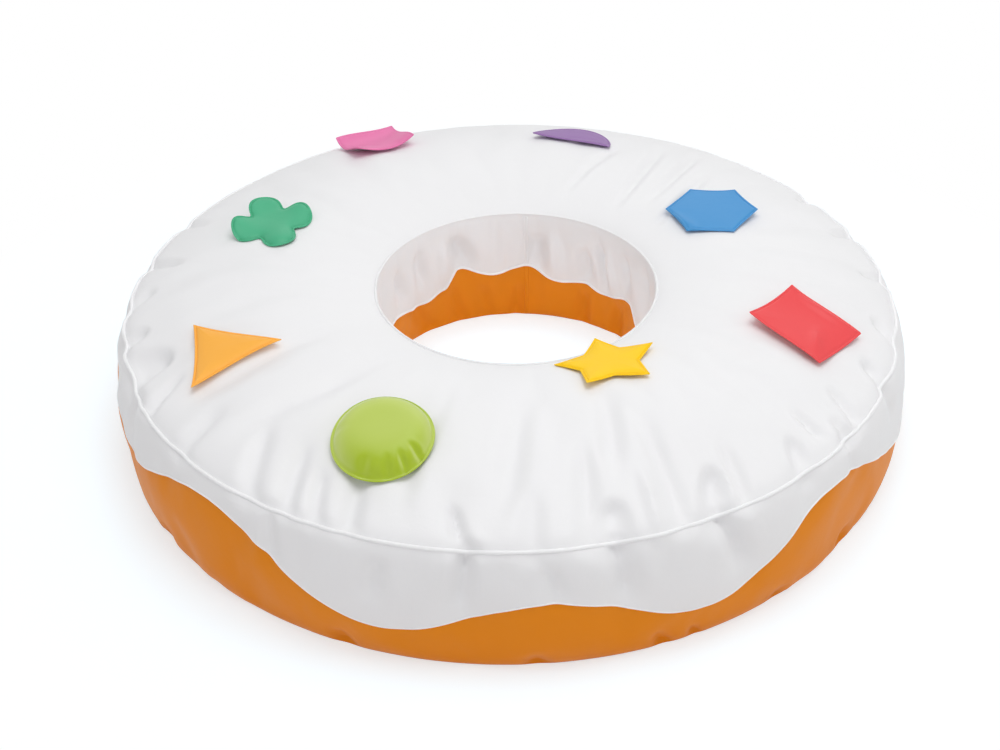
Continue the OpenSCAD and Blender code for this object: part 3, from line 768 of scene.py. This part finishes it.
def ring_point(az, row, lift=0.0):
    """Points of the ring's surface at directions and rows, which may be fractions, lifted
    along its normal."""
    column = (np.asarray(az, float) % 360) / 360 * COLUMNS
    row = np.asarray(row, float)
    column, row, lift = np.broadcast_arrays(column, row, lift)
    i, j = np.floor(row).astype(int), np.floor(column).astype(int)
    fi, fj = (row - i)[..., None], (column - j)[..., None]
    out = 0
    for a, wi in ((0, 1 - fi), (1, fi)):
        for b, wj in ((0, 1 - fj), (1, fj)):
            at = ((i + a) % ROWS, (j + b) % COLUMNS)
            out = out + wi * wj * (RING[at] + RING_OUT[at] * lift[..., None])
    return out


# Pieces cut from the ring's surface

def slab(name, outer, inner, material, keep=None, sharp=40):
    """A closed sheet between two grids of points that go all the way round; keep says which
    of its quads are there."""
    rows, columns = outer.shape[:2]
    if keep is None:
        keep = np.ones((rows - 1, columns), bool)
    faces = []
    for i, j in np.argwhere(keep).tolist():
        k = (j + 1) % columns
        first, second = i * columns, (i + 1) * columns
        a, b, c, d = first + j, second + j, second + k, first + k
        e, f, g, h = [v + rows * columns for v in (a, b, c, d)]
        faces += [(a, b, c, d), (e, h, g, f)]
        if i == 0 or not keep[i - 1, j]:
            faces.append((a, d, h, e))
        if i == rows - 2 or not keep[i + 1, j]:
            faces.append((b, f, g, c))
        if not keep[i, j - 1]:
            faces.append((a, e, f, b))
        if not keep[i, k]:
            faces.append((d, c, g, h))
    return drop_loose(mesh_object(name, (outer, inner), faces, material, sharp))


def drop_loose(piece):
    """Takes away points that no face uses."""
    mesh = piece.data
    used = np.zeros(len(mesh.vertices), bool)
    corners = np.zeros(len(mesh.loops), int)
    mesh.loops.foreach_get("vertex_index", corners)
    used[corners] = True
    if used.all():
        return piece
    edit = bmesh.new()
    edit.from_mesh(mesh)
    edit.verts.ensure_lookup_table()
    loose = [edit.verts[int(i)] for i in np.flatnonzero(~used)]
    bmesh.ops.delete(edit, geom=loose, context="VERTS")
    edit.to_mesh(mesh)
    edit.free()
    return piece


def panel(name, first, last, material):
    """One panel of the cover, from one row of the ring to another."""
    rows = np.arange(first, last + 1) % ROWS
    outer = RING[rows]
    return slab(name, outer, outer - RING_OUT[rows] * COVER_T, material)


def dress(piece, slot, *nodes, body="seat", fill=None):
    """Puts a piece on the body that it rides on and hides the nodes that it stands for; its
    finish, slot, is not used.
    """
    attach(piece, body)
    if nodes:
        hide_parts(*nodes)


def make_base():
    """The base panel, with the slit for the zip."""
    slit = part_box("zip_teeth")[1].x + SLIT_PAST_TEETH
    half = math.degrees(math.asin(slit / ZIP_MIDDLE_R))
    keep = np.ones((BASE_ROWS, COLUMNS), bool)
    keep[SLIT_ROW, np.abs(AZ + 180 / COLUMNS - ZIP_AZ) < half] = False
    low = RING[FOOT:HOLE_FOOT + 1] * (1, 1, 0)
    dress(slab("seat_base", low, low + (0, 0, COVER_T), ORANGE, keep),
          "orange_leatherette", "base_panel")


def make_cover():
    """The four panels of the cover, and the bag inside them."""
    dress(panel("seat_top", 0, RIM, WHITE), "white_leatherette", "top_panel", fill=0.7)
    dress(panel("seat_outer_wall", RIM, FOOT, ORANGE), "orange_leatherette", "outer_wall",
          fill=0.7)
    dress(panel("seat_hole_wall", HOLE_FOOT, ROWS, ORANGE), "orange_leatherette",
          "hole_wall", fill=0.7)
    make_base()
    rows = np.arange(0, ROWS + 2, 2) % ROWS
    bag = slab("inner_bag_of_beads", inset(5.5 * MM)[rows], inset(6.5 * MM)[rows], BAG)
    dress(bag, "bag_cloth", "inner_bag", "bead_filling", fill=0.7)


def inset(depth):
    """The ring's surface drawn in by a depth, with a base that lies flat inside the cover."""
    moved = RING - RING_OUT * depth
    for first, last, like in ((FOOT - 4, FOOT + 3, FOOT - 5),
                              (HOLE_FOOT - 2, HOLE_FOOT + 5, HOLE_FOOT + 6)):
        moved[first:last] = RING[first:last] - unit(RING_OUT[like] * (1, 1, 0)) * depth
    moved[..., 2] = np.maximum(moved[..., 2], depth)
    moved[FOOT:HOLE_FOOT + 1, :, 2] = depth
    return moved


# White scalloped bands: direction and height, as a share of the wall's, of each drip and
# of each arch between two drips
OUTER_DRIPS = [
    (-157, 0.55), (-133, 0.87), (-106, 0.36), (-86, 0.63), (-65.5, 0.35), (-43.5, 0.81),
    (-18, 0.38), (6, 0.68), (29, 0.37), (51, 0.78), (74, 0.39), (93, 0.63),
    (117, 0.35), (139, 0.80), (161, 0.40), (184, 0.88),
]
HOLE_DRIPS = [
    (-169, 0.49), (-148, 0.33), (-126, 0.47), (-104, 0.34), (-82, 0.50), (-60, 0.37),
    (-38, 0.48), (-14, 0.35), (8, 0.40), (26, 0.28), (33, 0.44), (50, 0.37),
    (60, 0.42), (69, 0.40), (86, 0.50), (98, 0.45), (115.5, 0.535), (121.5, 0.375),
    (131, 0.32), (150, 0.385), (168, 0.34),
]


def scallop(drips, az):
    """Height of a scalloped edge, easing from each drip to the next arch."""
    start = drips[0][0]
    turned = (az - start) % 360
    at = np.array([a - start for a, h in drips] + [360.0])
    high = np.array([h for a, h in drips] + [drips[0][1]])
    k = np.clip(np.searchsorted(at, turned, side="right") - 1, 0, len(drips) - 1)
    u = (turned - at[k]) / (at[k + 1] - at[k])
    return high[k] + (high[k + 1] - high[k]) * (1 - np.cos(np.pi * u)) / 2


BAND_ROWS = 30
# How the band's rows crowd towards its edge, and how far its rolled edge stands out
BAND_CROWDING = 0.9
EDGE_OUT = 0.2 * MM
BAND_AZ = np.linspace(0, 360, 900, endpoint=False)
BAND_GAP = 0.5 * MM
# Height of the pipings' middles over the seams that they lie on
RIM_PIPING_UP = 1.6 * MM
HOLE_PIPING_UP = 1.0 * MM
BEAD_R = {"outer_band_edge": 1.3 * MM, "hole_band_edge": 2.4 * MM}


def band(name, drips, top_row, edge_row):
    """A white band from a piping down to its scalloped edge, which is rolled to a bead."""
    edge = edge_row(scallop(drips, BAND_AZ))
    share = np.linspace(0, 1, BAND_ROWS)[:, None] ** BAND_CROWDING
    rows = top_row + (edge - top_row) * share
    lift = np.full(rows.shape, BAND_GAP + BAND_T)
    lift[-1] += EDGE_OUT
    outer = ring_point(BAND_AZ, rows, lift)
    inner = ring_point(BAND_AZ, rows, BAND_GAP)
    if top_row > edge[0]:
        outer, inner = outer[::-1], inner[::-1]
    return slab(name, outer, inner, WHITE, sharp=60)


def tube(name, line, radius, material, sides):
    """A closed round tube along a closed line."""
    ahead = unit(np.roll(line, -1, 0) - np.roll(line, 1, 0))
    up = unit(np.array([0, 0, 1.0]) - ahead * ahead[:, 2:])
    side = np.cross(ahead, up)
    ring = circle(sides, side[:, None], up[:, None]) * radius
    index = np.arange(len(line) * sides).reshape(-1, sides)
    return mesh_object(name, line[:, None] + ring, closed_quads(index, 1), material)


def outer_row(share):
    """Row of the outer wall at a share of its height."""
    return RIM + (1 - share) * WALL_ROWS


def hole_row(share):
    """Row of the hole's wall at a share of its height."""
    return HOLE_FOOT + share * HOLE_ROWS


def make_bands_and_piping():
    """The two white bands, their rolled edges and the two pipings."""
    outer = band("outer_scalloped_band", OUTER_DRIPS, RIM, outer_row)
    dress(outer, "white_leatherette", "outer_icing")
    hole = band("hole_scalloped_band", HOLE_DRIPS, ROWS, hole_row)
    dress(hole, "white_leatherette", "hole_icing")
    # The rolled edges and the rim's piping take the lighter white, a painted highlight
    for name, drips, to_row in (("outer_band_edge", OUTER_DRIPS, outer_row),
                                ("hole_band_edge", HOLE_DRIPS, hole_row)):
        line = ring_point(BAND_AZ, to_row(scallop(drips, BAND_AZ)), BAND_GAP + BAND_T * 0.8)
        dress(tube(name, line, BEAD_R[name], LIGHTER_WHITE, 8), "white_leatherette")
    rim = tube("rim_piping_cover", ring_point(BAND_AZ, RIM, RIM_PIPING_UP), RIM_PIPING_R,
               LIGHTER_WHITE, 12)
    dress(rim, "white_leatherette", "rim_piping", "rim_piping_cord")
    edge = tube("hole_piping_cover", ring_point(BAND_AZ, 0, HOLE_PIPING_UP), HOLE_PIPING_R,
                WHITE, 12)
    dress(edge, "white_leatherette", "hole_piping", "hole_piping_cord")


# Touch pads

def polar(degrees, size):
    """Points at directions and distances from the middle."""
    a = np.radians(degrees)
    return np.stack([size * np.cos(a), size * np.sin(a)], -1)


def regular(n, r):
    """Corners of a regular polygon."""
    return polar(360 * np.arange(n) / n, r)


def oblong(w, l):
    """Corners of a rectangle."""
    return np.array([(-w, -l), (w, -l), (w, l), (-w, l)]) / 2


def star(r, notch):
    """Corners of a five-pointed star."""
    corner = np.arange(10)
    return polar(36 * corner, np.where(corner % 2 == 0, r, notch))


# Radius of the clover's waist, in millimetres
WAIST_R = 39


def clover(leaf_r, leaf_at):
    """Four round leaves that flow into each other over a waist."""
    way = np.arange(0, 360, 3.0)
    off = (np.radians(way) + math.pi / 4) % (math.pi / 2) - math.pi / 4
    inside = np.clip(leaf_r ** 2 - (leaf_at * np.sin(off)) ** 2, 0, None)
    leaves = leaf_at * np.cos(off) + np.sqrt(inside)
    return polar(way, blurred(np.maximum(leaves, WAIST_R), 0, 1.4))


def half_disc(r):
    """A half disc whose middle lies between its straight edge and its round edge."""
    return polar(np.linspace(0, 180, 40), r) - (0, 0.42 * r)


def soft_corners(points, cut):
    """Each corner drawn as a short curve."""
    out = []
    n = len(points)
    for i, b in enumerate(points):
        before, after = points[i - 1] - b, points[(i + 1) % n] - b
        a = b + before * min(cut / np.linalg.norm(before), 0.4)
        c = b + after * min(cut / np.linalg.norm(after), 0.4)
        for t in np.linspace(0, 1, 5):
            out.append((1 - t) ** 2 * a + 2 * t * (1 - t) * b + t ** 2 * c)
    return np.array(out)


def turned(points, az):
    """A plan turned about its middle."""
    c, s = math.cos(math.radians(az)), math.sin(math.radians(az))
    return points @ np.array([[c, s], [-s, c]])


def resampled(points, step):
    """A closed outline with points about a step apart that keeps every corner."""
    out = []
    for a, b in zip(points, np.roll(points, -1, 0)):
        n = max(1, round(np.linalg.norm(b - a) / step))
        out += [a + (b - a) * k / n for k in range(n)]
    return np.array(out)


def edge_distance(points, outline):
    """Distance of each point from an outline."""
    best = np.full(len(points), np.inf)
    for a, b in zip(outline, np.roll(outline, -1, 0)):
        d = b - a
        t = np.clip(((points - a) @ d) / max(d @ d, 1e-18), 0, 1)
        best = np.minimum(best, np.linalg.norm(points - a - t[:, None] * d, axis=1))
    return best


def place_on_ring(xy):
    """Direction and share across the top of points seen from above."""
    share = np.full(len(xy), 0.5)
    for _ in range(8):
        from_middle = xy - (1 - share)[:, None] * HOLE_OFF
        share = (np.linalg.norm(from_middle, axis=1) - HOLE_R) / TOP_W
    return np.degrees(np.arctan2(from_middle[:, 1], from_middle[:, 0])), share


# Thickness of a pad at its edge, its height over the smooth top and its clearance over folds
PAD_T = 2.4 * MM
PAD_LOW = 3.2 * MM
PAD_CLEAR = 0.7 * MM
# Rings of points from a pad's edge to its middle: their number, the points' spacing along
# the edge, how the rings crowd towards the edge, and the innermost one's size
PAD_RINGS = 26
PAD_STEP = 2.2 * MM
PAD_CROWDING = 1.35
PAD_CORE = 0.012
# Radius of a pad's rounded edge, and place, width and depth of its sewn line
PAD_ROUND = 1.5 * MM
SEAM_IN = 3.4 * MM
SEAM_W = 1.1 * MM
SEAM_DEPTH = 1.3 * MM
# Share by which a pad follows the crown instead of lying flat on it
PAD_CONFORM = 0.55
# How strongly the curl is kept calm where the lifts leave it free
CURL_CALM = 0.03
# Distance of a gather from the pad's edge, its reach there, and where it sets in
PUCKER_IN = 11 * MM
PUCKER_REACH = 8 * MM
PUCKER_START = 4 * MM


def bends(points):
    """The smooth shapes that a pad's curl is made of, level at its middle."""
    x, y = points[:, 0], points[:, 1]
    return np.stack([x * x, x * y, y * y, x ** 3, x * x * y, x * y * y, y ** 3], -1)


def curl_height(plan, outline, lifts):
    """How far a pad stands up from the top, given its edge's lift in some directions."""
    size = np.abs(outline).max()
    way = np.degrees(np.arctan2(outline[:, 1], outline[:, 0]))
    at = np.array([a for a, lift in lifts])
    high = np.array([lift for a, lift in lifts]) * MM
    reach = np.interp(at, way, np.linalg.norm(outline, axis=1), period=360) / size
    shapes = bends(polar(at, reach))
    held = shapes.T @ shapes + CURL_CALM * np.eye(shapes.shape[1])
    return bends(plan / size) @ np.linalg.solve(held, shapes.T @ high)


def crease_height(plan, creases):
    """Ridges, or dents where the height is negative, along lines on a pad."""
    height = np.zeros(len(plan))
    for x_a, y_a, x_b, y_b, width, rise in creases:
        a, d = np.array([x_a, y_a]) * MM, np.array([x_b - x_a, y_b - y_a]) * MM
        t = np.clip((plan - a) @ d / (d @ d), 0, 1)
        off = np.linalg.norm(plan - a - t[:, None] * d, axis=1) / (width * MM)
        height += rise * MM * np.exp(-off * off) * np.sin(math.pi * (0.1 + 0.8 * t))
    return height


def pucker_height(plan, inside, puckers):
    """Small gathers at a pad's edge, in given directions."""
    height = np.zeros(len(plan))
    az = np.degrees(np.arctan2(plan[:, 1], plan[:, 0]))
    for at, width, depth in puckers:
        off = wrapped(az - at) / width
        reach = np.exp(-((inside - PUCKER_IN) / PUCKER_REACH) ** 2)
        reach *= fade(inside / PUCKER_START)
        height -= depth * MM * (1 - 1.1 * off ** 2) * np.exp(-off ** 2) * reach
    return height


def bowed(points, depth):
    """A polygon whose edges are drawn in by a depth at their middles."""
    out = []
    for a, b in zip(points, np.roll(points, -1, 0)):
        d = (b - a) / np.linalg.norm(b - a)
        for t in np.linspace(0, 1, 9)[:-1]:
            out.append(a + (b - a) * t + np.array([-d[1], d[0]]) * depth * 4 * t * (1 - t))
    return np.array(out)


def hook_middle(name):
    """Middle of a pad's flat hook patch."""
    low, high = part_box(name + "_hook")
    return (np.array(low) + np.array(high)) / 2


def pad_plan(outline):
    """A pad's edge, and the rings of points inside it, seen from above."""
    rim = resampled(outline, PAD_STEP)
    share = 1 - np.linspace(0, 1, PAD_RINGS) ** PAD_CROWDING
    share[-1] = PAD_CORE
    return rim, (share[:, None, None] * rim[None]).reshape(-1, 2)


def laid_on_top(name, plan):
    """Places of a pad's points over its hook, the heights of its uncurled underside, and
    those of the cover under it."""
    centre = hook_middle(name)[:2]
    at_r = np.linalg.norm(centre)
    out = centre / at_r
    side = np.array([-out[1], out[0]])
    lean = (RIM_H - HOLE_H + 4 * CROWN * (1 - 2 * (at_r - HOLE_R) / TOP_W)) / TOP_W
    shrink = 1 / math.sqrt(1 + lean * lean)
    xy = centre + np.outer(plan @ out, out) * shrink + np.outer(plan @ side, side)
    az, across = place_on_ring(xy)
    smooth = top_height(across)
    middle = place_on_ring(centre[None])[1]
    flat = top_height(middle)[0] + lean * shrink * (plan @ out)
    base = smooth + (1 - PAD_CONFORM) * np.maximum(flat - smooth, 0) + PAD_LOW
    return xy, base, ring_point(az, np.clip(across, 0, 1) * TOP_ROWS)[:, 2]


def pad_surface(name, outline, loft, lifts, puckers, creases, spread):
    """Rings of points of a pad's front and of its back."""
    rim, plan = pad_plan(outline)
    xy, base, cover = laid_on_top(name, plan)
    base = np.maximum(base + curl_height(plan, rim, lifts), cover + PAD_CLEAR)
    inside = edge_distance(plan, outline)
    puff = loft * MM * (1 - np.exp(-np.clip(inside - SEAM_IN, 0, None) / (spread * MM)))
    puff *= 1 / (1 - math.exp(-(inside.max() - SEAM_IN) / (spread * MM)))
    from_round = 1 - np.clip(inside / PAD_ROUND, 0, 1)
    round_edge = np.sqrt(np.clip(1 - from_round ** 2, 0, 1))
    seam = SEAM_DEPTH * np.exp(-((inside - SEAM_IN) / SEAM_W) ** 2)
    top = base + PAD_T * (0.5 + 0.5 * round_edge) + puff - seam
    top += pucker_height(plan, inside, puckers) + crease_height(plan, creases)
    bottom = base + PAD_T * (0.5 - 0.5 * round_edge)
    return [np.column_stack([xy, height]).reshape(PAD_RINGS, -1, 3)
            for height in (top, bottom)]


def skin(name, outer, inner, material):
    """A closed thin skin between two sets of rings, each closed at its middle."""
    rings, n = outer.shape[:2]
    index = np.arange(rings * n).reshape(rings, n)
    nxt = np.roll(index, -1, 1)
    under, under_nxt = index + rings * n, nxt + rings * n
    faces = []
    for i in range(rings - 1):
        faces += quads(index[i], nxt[i], nxt[i + 1], index[i + 1])
        faces += quads(under[i], under[i + 1], under_nxt[i + 1], under_nxt[i])
    faces += quads(index[0], under[0], under_nxt[0], nxt[0])
    faces.append(index[-1].tolist())
    faces.append(under[-1][::-1].tolist())
    return mesh_object(name, (outer, inner), faces, material, sharp=70)


PATCH_R = 20 * MM
PATCH_RINGS = 16
PATCH_SIDES = 72
PATCH_CORE = 0.02
# Height of the pile's tips over the patch's plane, how rough the pile is, how far in from
# the patch's edge it starts, and place and width of the sewn line
PILE_HIGH = 0.4 * MM
PILE_ROUGH = 0.35 * MM
PILE_IN = 2.5 * MM
STITCH_IN = 2 * MM
STITCH_W = 0.7 * MM


def patch_points(middle, normal, low, seed):
    """Rings of a round patch with a sewn rim and a rough pile, on one side of a plane."""
    along = unit(np.cross(normal, (0.0, 1.0, 0.3)))
    random = np.random.default_rng(seed)
    share = 1 - np.linspace(0, 1, PATCH_RINGS)
    share[-1] = PATCH_CORE
    round_about = circle(PATCH_SIDES, along, np.cross(normal, along))
    flat = share[:, None, None] * PATCH_R * round_about
    inside = PATCH_R * (1 - share)
    rough = random.uniform(0, PILE_ROUGH, (PATCH_RINGS, PATCH_SIDES))
    rough *= inside[:, None] > PILE_IN
    stitched = PILE_ROUGH * np.exp(-((inside - STITCH_IN) / STITCH_W) ** 2)
    outer = middle + flat + normal * (PILE_HIGH + (rough - stitched[:, None]))[..., None]
    outer[0] = middle + flat[0] + normal * (PILE_HIGH * 0.7 + low * 0.3)
    return outer, middle + flat + normal * low


def on_cover(patch):
    """A patch's two sides, raised where the cover's folds would hide it."""
    outer, inner = patch
    az, share = place_on_ring(outer[..., :2].reshape(-1, 2))
    cover = ring_point(az, share * TOP_ROWS)[:, 2].reshape(outer.shape[:2])
    short = np.maximum(cover + PILE_HIGH - outer[..., 2], 0)[..., None]
    rise = short * np.array([0, 0, 1.0])
    return outer + rise, inner + rise


def top_normal(name):
    """Normal of the top under a pad, along which the pad lifts off."""
    joint = next(j for j in frame["joints"] if j["name"] == name + "_lift")
    return np.array(joint["axis"], float)


# Each pad's finish, outline, loft, lifts of its edge as direction and height, gathers as
# direction, width and depth, creases, and the width over which it swells
PADS = {
    "pink_square": (
        "pink", turned(soft_corners(oblong(108, 108), 2), 26), 1.5,
        [(-109, 14), (-64, 9), (-19, 11), (26, 24), (71, 13), (116, 32), (161, 16), (206, 14)],
        [], [(-50, -30, 30, -48, 9, 0.8)], 20),
    "purple_half_disc": (
        "purple", turned(soft_corners(half_disc(70), 2), -21), 2.5,
        [(178, 6), (60, 4), (-48, 1), (-110, 5)],
        [], [(-30, -8, 40, -30, 8, -0.8)], 12),
    "blue_hexagon": (
        "blue", turned(soft_corners(bowed(regular(6, 73.5), 1.5), 1), -7.8), 1.2,
        [(-128, 0), (-68, 0), (-8, 8), (22, 6), (52, 7), (82, 1), (112, 1), (172, 1)],
        [], [(-66, -8, -30, -62, 10, 4.0)], 20),
    "red_rectangle": (
        "red", turned(soft_corners(oblong(110, 125), 2), 47), 2.5,
        [(-84, 0), (-2, 4), (47, 7), (96, 12), (137, 8), (178, 13), (-131, 6)],
        [], [(6, 56, 56, 6, 8, 4.5), (4, -66, 16, -14, 9, 4.0)], 25),
    "yellow_star": (
        "yellow", turned(soft_corners(star(76, 45), 1.5), -115), 4,
        [(-151, 1), (-115, 7), (-79, 1), (-43, 3), (-7, 4), (29, 5), (65, 5), (101, 9),
         (137, 2), (173, 0)],
        [], [], 9),
    "lime_disc": (
        "lime", regular(90, 68.8), 24,
        [(180, 6), (-135, 1), (-90, 0), (-45, 0), (0, 6), (45, 10), (90, 14), (135, 11)],
        [(-38, 6, 7), (-60, 6, 6), (-82, 7, 4), (-112, 10, 3), (172, 9, 1.5)], [], 11.5),
    "orange_triangle": (
        "light_orange", turned(soft_corners(bowed(regular(3, 86.6), 3.5), 1), 7), 5,
        [(-113, 8), (-53, 2), (7, 0), (67, 0), (127, 3), (187, 3)],
        [], [], 8),
    "green_clover": (
        "green", turned(clover(27, 38.5), 22.6) * (1.0, 1.11), 5.5,
        [(-157, 11), (-112, 0), (-67, 0), (-22, 0), (23, 4), (68, 11), (113, 17), (158, 19)],
        [], [], 6),
}


# Share of a pad's thickness that each of its two covers takes up, inside and at its edge
COVER_SHARE = 0.35
EDGE_SHARE = 0.1
# How far the loop patch lies under the hook patch, and how deep the patches' backs lie
LOOP_UNDER = 1.2 * MM
HOOK_BACK = -2.5 * MM
LOOP_BACK = -1.6 * MM


def make_pad(name, colour, outline, *form):
    """The front and back covers of one pad."""
    upper, lower = pad_surface(name, outline * MM, *form)
    edge = (upper[0] + lower[0]) / 2
    inner_up = upper + (lower - upper) * COVER_SHARE
    inner_low = lower + (upper - lower) * COVER_SHARE
    inner_up[0] = edge + (upper[0] - edge) * EDGE_SHARE
    inner_low[0] = edge + (lower[0] - edge) * EDGE_SHARE
    finish = colour + "_leatherette"
    front = skin(name + "_front_cover", upper, inner_up, PAD_LEATHER[colour])
    dress(front, finish, name + "_front", name + "_padding", body=name, fill=0.5)
    back = skin(name + "_back_cover", inner_low, lower, PAD_LEATHER[colour])
    dress(back, finish, name + "_back", body=name, fill=0.5)


def make_pads():
    """The eight pads with their hook patches, and the loop patches under them."""
    patches = []
    for seed, (name, made_as) in enumerate(PADS.items()):
        make_pad(name, *made_as)
        at, normal = hook_middle(name), top_normal(name)
        hook = patch_points(at, -normal, HOOK_BACK, seed)
        dress(skin(name + "_hook_patch", *hook, HOOKS), "hook_pile", name + "_hook", body=name)
        loop = patch_points(at - LOOP_UNDER * normal, normal, LOOP_BACK, seed + 20)
        patches.append(on_cover(loop))
    loops = [skin("loop_patch_%d" % i, *patch, LOOPS) for i, patch in enumerate(patches)]
    with bpy.context.temp_override(active_object=loops[0], selected_editable_objects=loops):
        bpy.ops.object.join()
    loops[0].name = "loop_patches_on_top"
    dress(loops[0], "loop_pile", "loop_patches")


# Seams

# Width, thickness and points of the sewn strips: how far across each point lies and how
# high, as shares; and how far the strips reach under the surface
STRIP_W = 8 * MM
STRIP_T = 1.1 * MM
STRIP_UNDER = 0.3 * MM
STRIP_ROWS = 90
STRIP_ACROSS = np.array([-0.5, -0.4, -0.15, 0.0, 0.15, 0.4, 0.5])
STRIP_RISE = np.array([0.1, 0.9, 1.0, 0.1, 1.0, 0.9, 0.1])


def seam_strip(name, az, row_from, row_to, lift, material):
    """A narrow sewn strip that runs along the profile, with its two edges pressed down."""
    rows = np.linspace(row_from, row_to, STRIP_ROWS)
    point = ring_point(az, rows, lift)
    degree = np.degrees(STRIP_W / np.hypot(point[:, 0], point[:, 1]))
    az_grid = az + STRIP_ACROSS * degree[:, None]
    upper = ring_point(az_grid, rows[:, None], lift + STRIP_RISE * STRIP_T)
    lower = ring_point(az_grid, rows[:, None], lift - STRIP_UNDER)
    # The strip doesn't go round, so the quads from its last column to its first are left out
    keep = np.ones((STRIP_ROWS - 1, len(STRIP_ACROSS)), bool)
    keep[:, -1] = False
    return slab(name, upper, lower, material, keep, sharp=None)


def make_seams():
    """The closing seams of the hole's wall and of the outer wall, at the back."""
    for place, az, drips, first, foot in (("hole", 85.2, HOLE_DRIPS, ROWS - 0.6, HOLE_FOOT),
                                          ("outer", 90.0, OUTER_DRIPS, RIM + 0.9, FOOT)):
        share = float(scallop(drips, np.array([az]))[0])
        edge = foot + (first - foot) * share
        band_lift = BAND_GAP + BAND_T
        dress(seam_strip(place + "_band_seam", az, first, edge, band_lift, WHITE),
              "white_leatherette")
        low = foot + (0.3 if first > foot else -0.3)
        dress(seam_strip(place + "_wall_seam", az, edge, low, 0, ORANGE),
              "orange_leatherette")


def finish_zip():
    """The zip's own pieces keep their shapes and get their finishes."""
    for name, material in (("zip_tapes", TAPE), ("zip_teeth", TEETH), ("zip_stops", TEETH),
                           ("zip_slider", SLIDER), ("zip_end_tabs", ORANGE)):
        piece = frame["nodes"][name]
        piece.data.materials.clear()
        piece.data.materials.append(material)


# Stage

FLOOR_HALF = 30.0
FLOOR_DROP = 0.4 * MM
# Distances from the middle between which the floor fades to plain white
WHITE_FLOOR = (0.67, 1.05)
# The floor's colour near the seat, and the colour that it throws back on the seat
NEAR_PAINT = (0.47, 0.58, 0.65, 1)
BOUNCE_PAINT = (0.9, 0.9, 0.9, 1)
# Glow of the floor near the seat, and of the world where it isn't seen but lights the seat
FLOOR_GLOW = 0.56
WORLD_GLOW = 0.56
BLACK = (0, 0, 0, 1)
FULL_WHITE = (1, 1, 1, 1)
# Place, width, height, power and colour of each lamp that faces the seat
LAMPS = {
    "overhead": ((0.3, -0.2, 3.1), 2.2, 2.2, 38.5, (1, 1, 1)),
    "back": ((0.8, 6.0, 3.4), 5.2, 2.6, 43, (1, 1, 1)),
    "right": ((3.4, -0.6, 1.8), 2.2, 2.2, 11.5, (1, 0.99, 0.97)),
    "front": ((-0.8, -3.8, 2.2), 2.4, 2.4, 11.5, (1, 0.94, 1)),
}
SEAT_MIDDLE = Vector((0, 0, 0.1))


def seen_by_eye(tree, *rays):
    """1 for the camera's rays and some other kinds, and 0 for the light that bounces."""
    path = node(tree, "ShaderNodeLightPath")
    seen = path.outputs["Is Camera Ray"]
    for kind in rays:
        seen = larger(tree, seen, path.outputs["Is %s Ray" % kind])
    return seen


def floor_material():
    """Bluish near the seat and white away from it; it glows to the eye, which keeps its
    shadows as faint as in the photograph."""
    material, tree, shader, where = new_material("floor")
    seen = seen_by_eye(tree, "Glossy", "Transmission")
    away = node(tree, "ShaderNodeVectorMath", {0: where}, operation="LENGTH").outputs["Value"]
    far = node(tree, "ShaderNodeMapRange", {
        "Value": away, "From Min": WHITE_FLOOR[0], "From Max": WHITE_FLOOR[1],
    }, interpolation_type="SMOOTHSTEP").outputs["Result"]
    paint = mixed(tree, seen, BOUNCE_PAINT, mixed(tree, far, NEAR_PAINT, BLACK))
    tree.links.new(paint, shader.inputs["Base Color"])
    glow = node(tree, "ShaderNodeMath", {
        0: seen, 1: mapped(tree, far, FLOOR_GLOW, 1.0),
    }, operation="MULTIPLY").outputs[0]
    tree.links.new(glow, shader.inputs["Emission Strength"])
    shader.inputs["Emission Color"].default_value = FULL_WHITE
    shader.inputs["Roughness"].default_value = 1.0
    shader.inputs["Specular IOR Level"].default_value = 0.0
    return material


def make_floor():
    """A wide floor just under the seat."""
    corners = [(x * FLOOR_HALF, y * FLOOR_HALF, 0)
               for x, y in ((-1, -1), (1, -1), (1, 1), (-1, 1))]
    floor = mesh_object("floor", corners, [(0, 1, 2, 3)], floor_material())
    floor.location.z = -FLOOR_DROP


def make_world():
    """A white background, which lights the seat less than it shows."""
    world = bpy.data.worlds.new("world")
    bpy.context.scene.world = world
    world.use_nodes = True
    tree = world.node_tree
    light = tree.nodes["Background"]
    seen = seen_by_eye(tree, "Transmission")
    tree.links.new(mapped(tree, seen, WORLD_GLOW, 1.0), light.inputs["Strength"])
    light.inputs["Color"].default_value = FULL_WHITE


def area_lamp(name, at, wide, high, power, colour, way):
    """A rectangular lamp that faces one way."""
    data = bpy.data.lights.new(name, "AREA")
    data.shape = "RECTANGLE"
    data.size = wide
    data.size_y = high
    data.energy = power
    data.color = colour
    lamp = placed(name, data)
    lamp.location = at
    lamp.rotation_euler = Vector(way).to_track_quat("-Z", "Y").to_euler()
    return lamp


def make_stage():
    """A pale floor that keeps the seat's shadow, a white background and soft lamps."""
    make_floor()
    make_world()
    for name, lamp in LAMPS.items():
        area_lamp(name, *lamp, SEAT_MIDDLE - Vector(lamp[0]))
    # A small lamp low behind the hole's front edge brightens the far wall alone
    in_hole = area_lamp("in_hole", (0.11, -0.12, 0.09), 0.16, 0.08, 0.2, (0.82, 0.94, 1),
                        (-0.9, 1, 0.12))
    in_hole.visible_camera = False
    bpy.context.scene.view_settings.view_transform = "Standard"


make_camera()
make_cover()
make_bands_and_piping()
make_pads()
make_seams()
finish_zip()
make_stage()
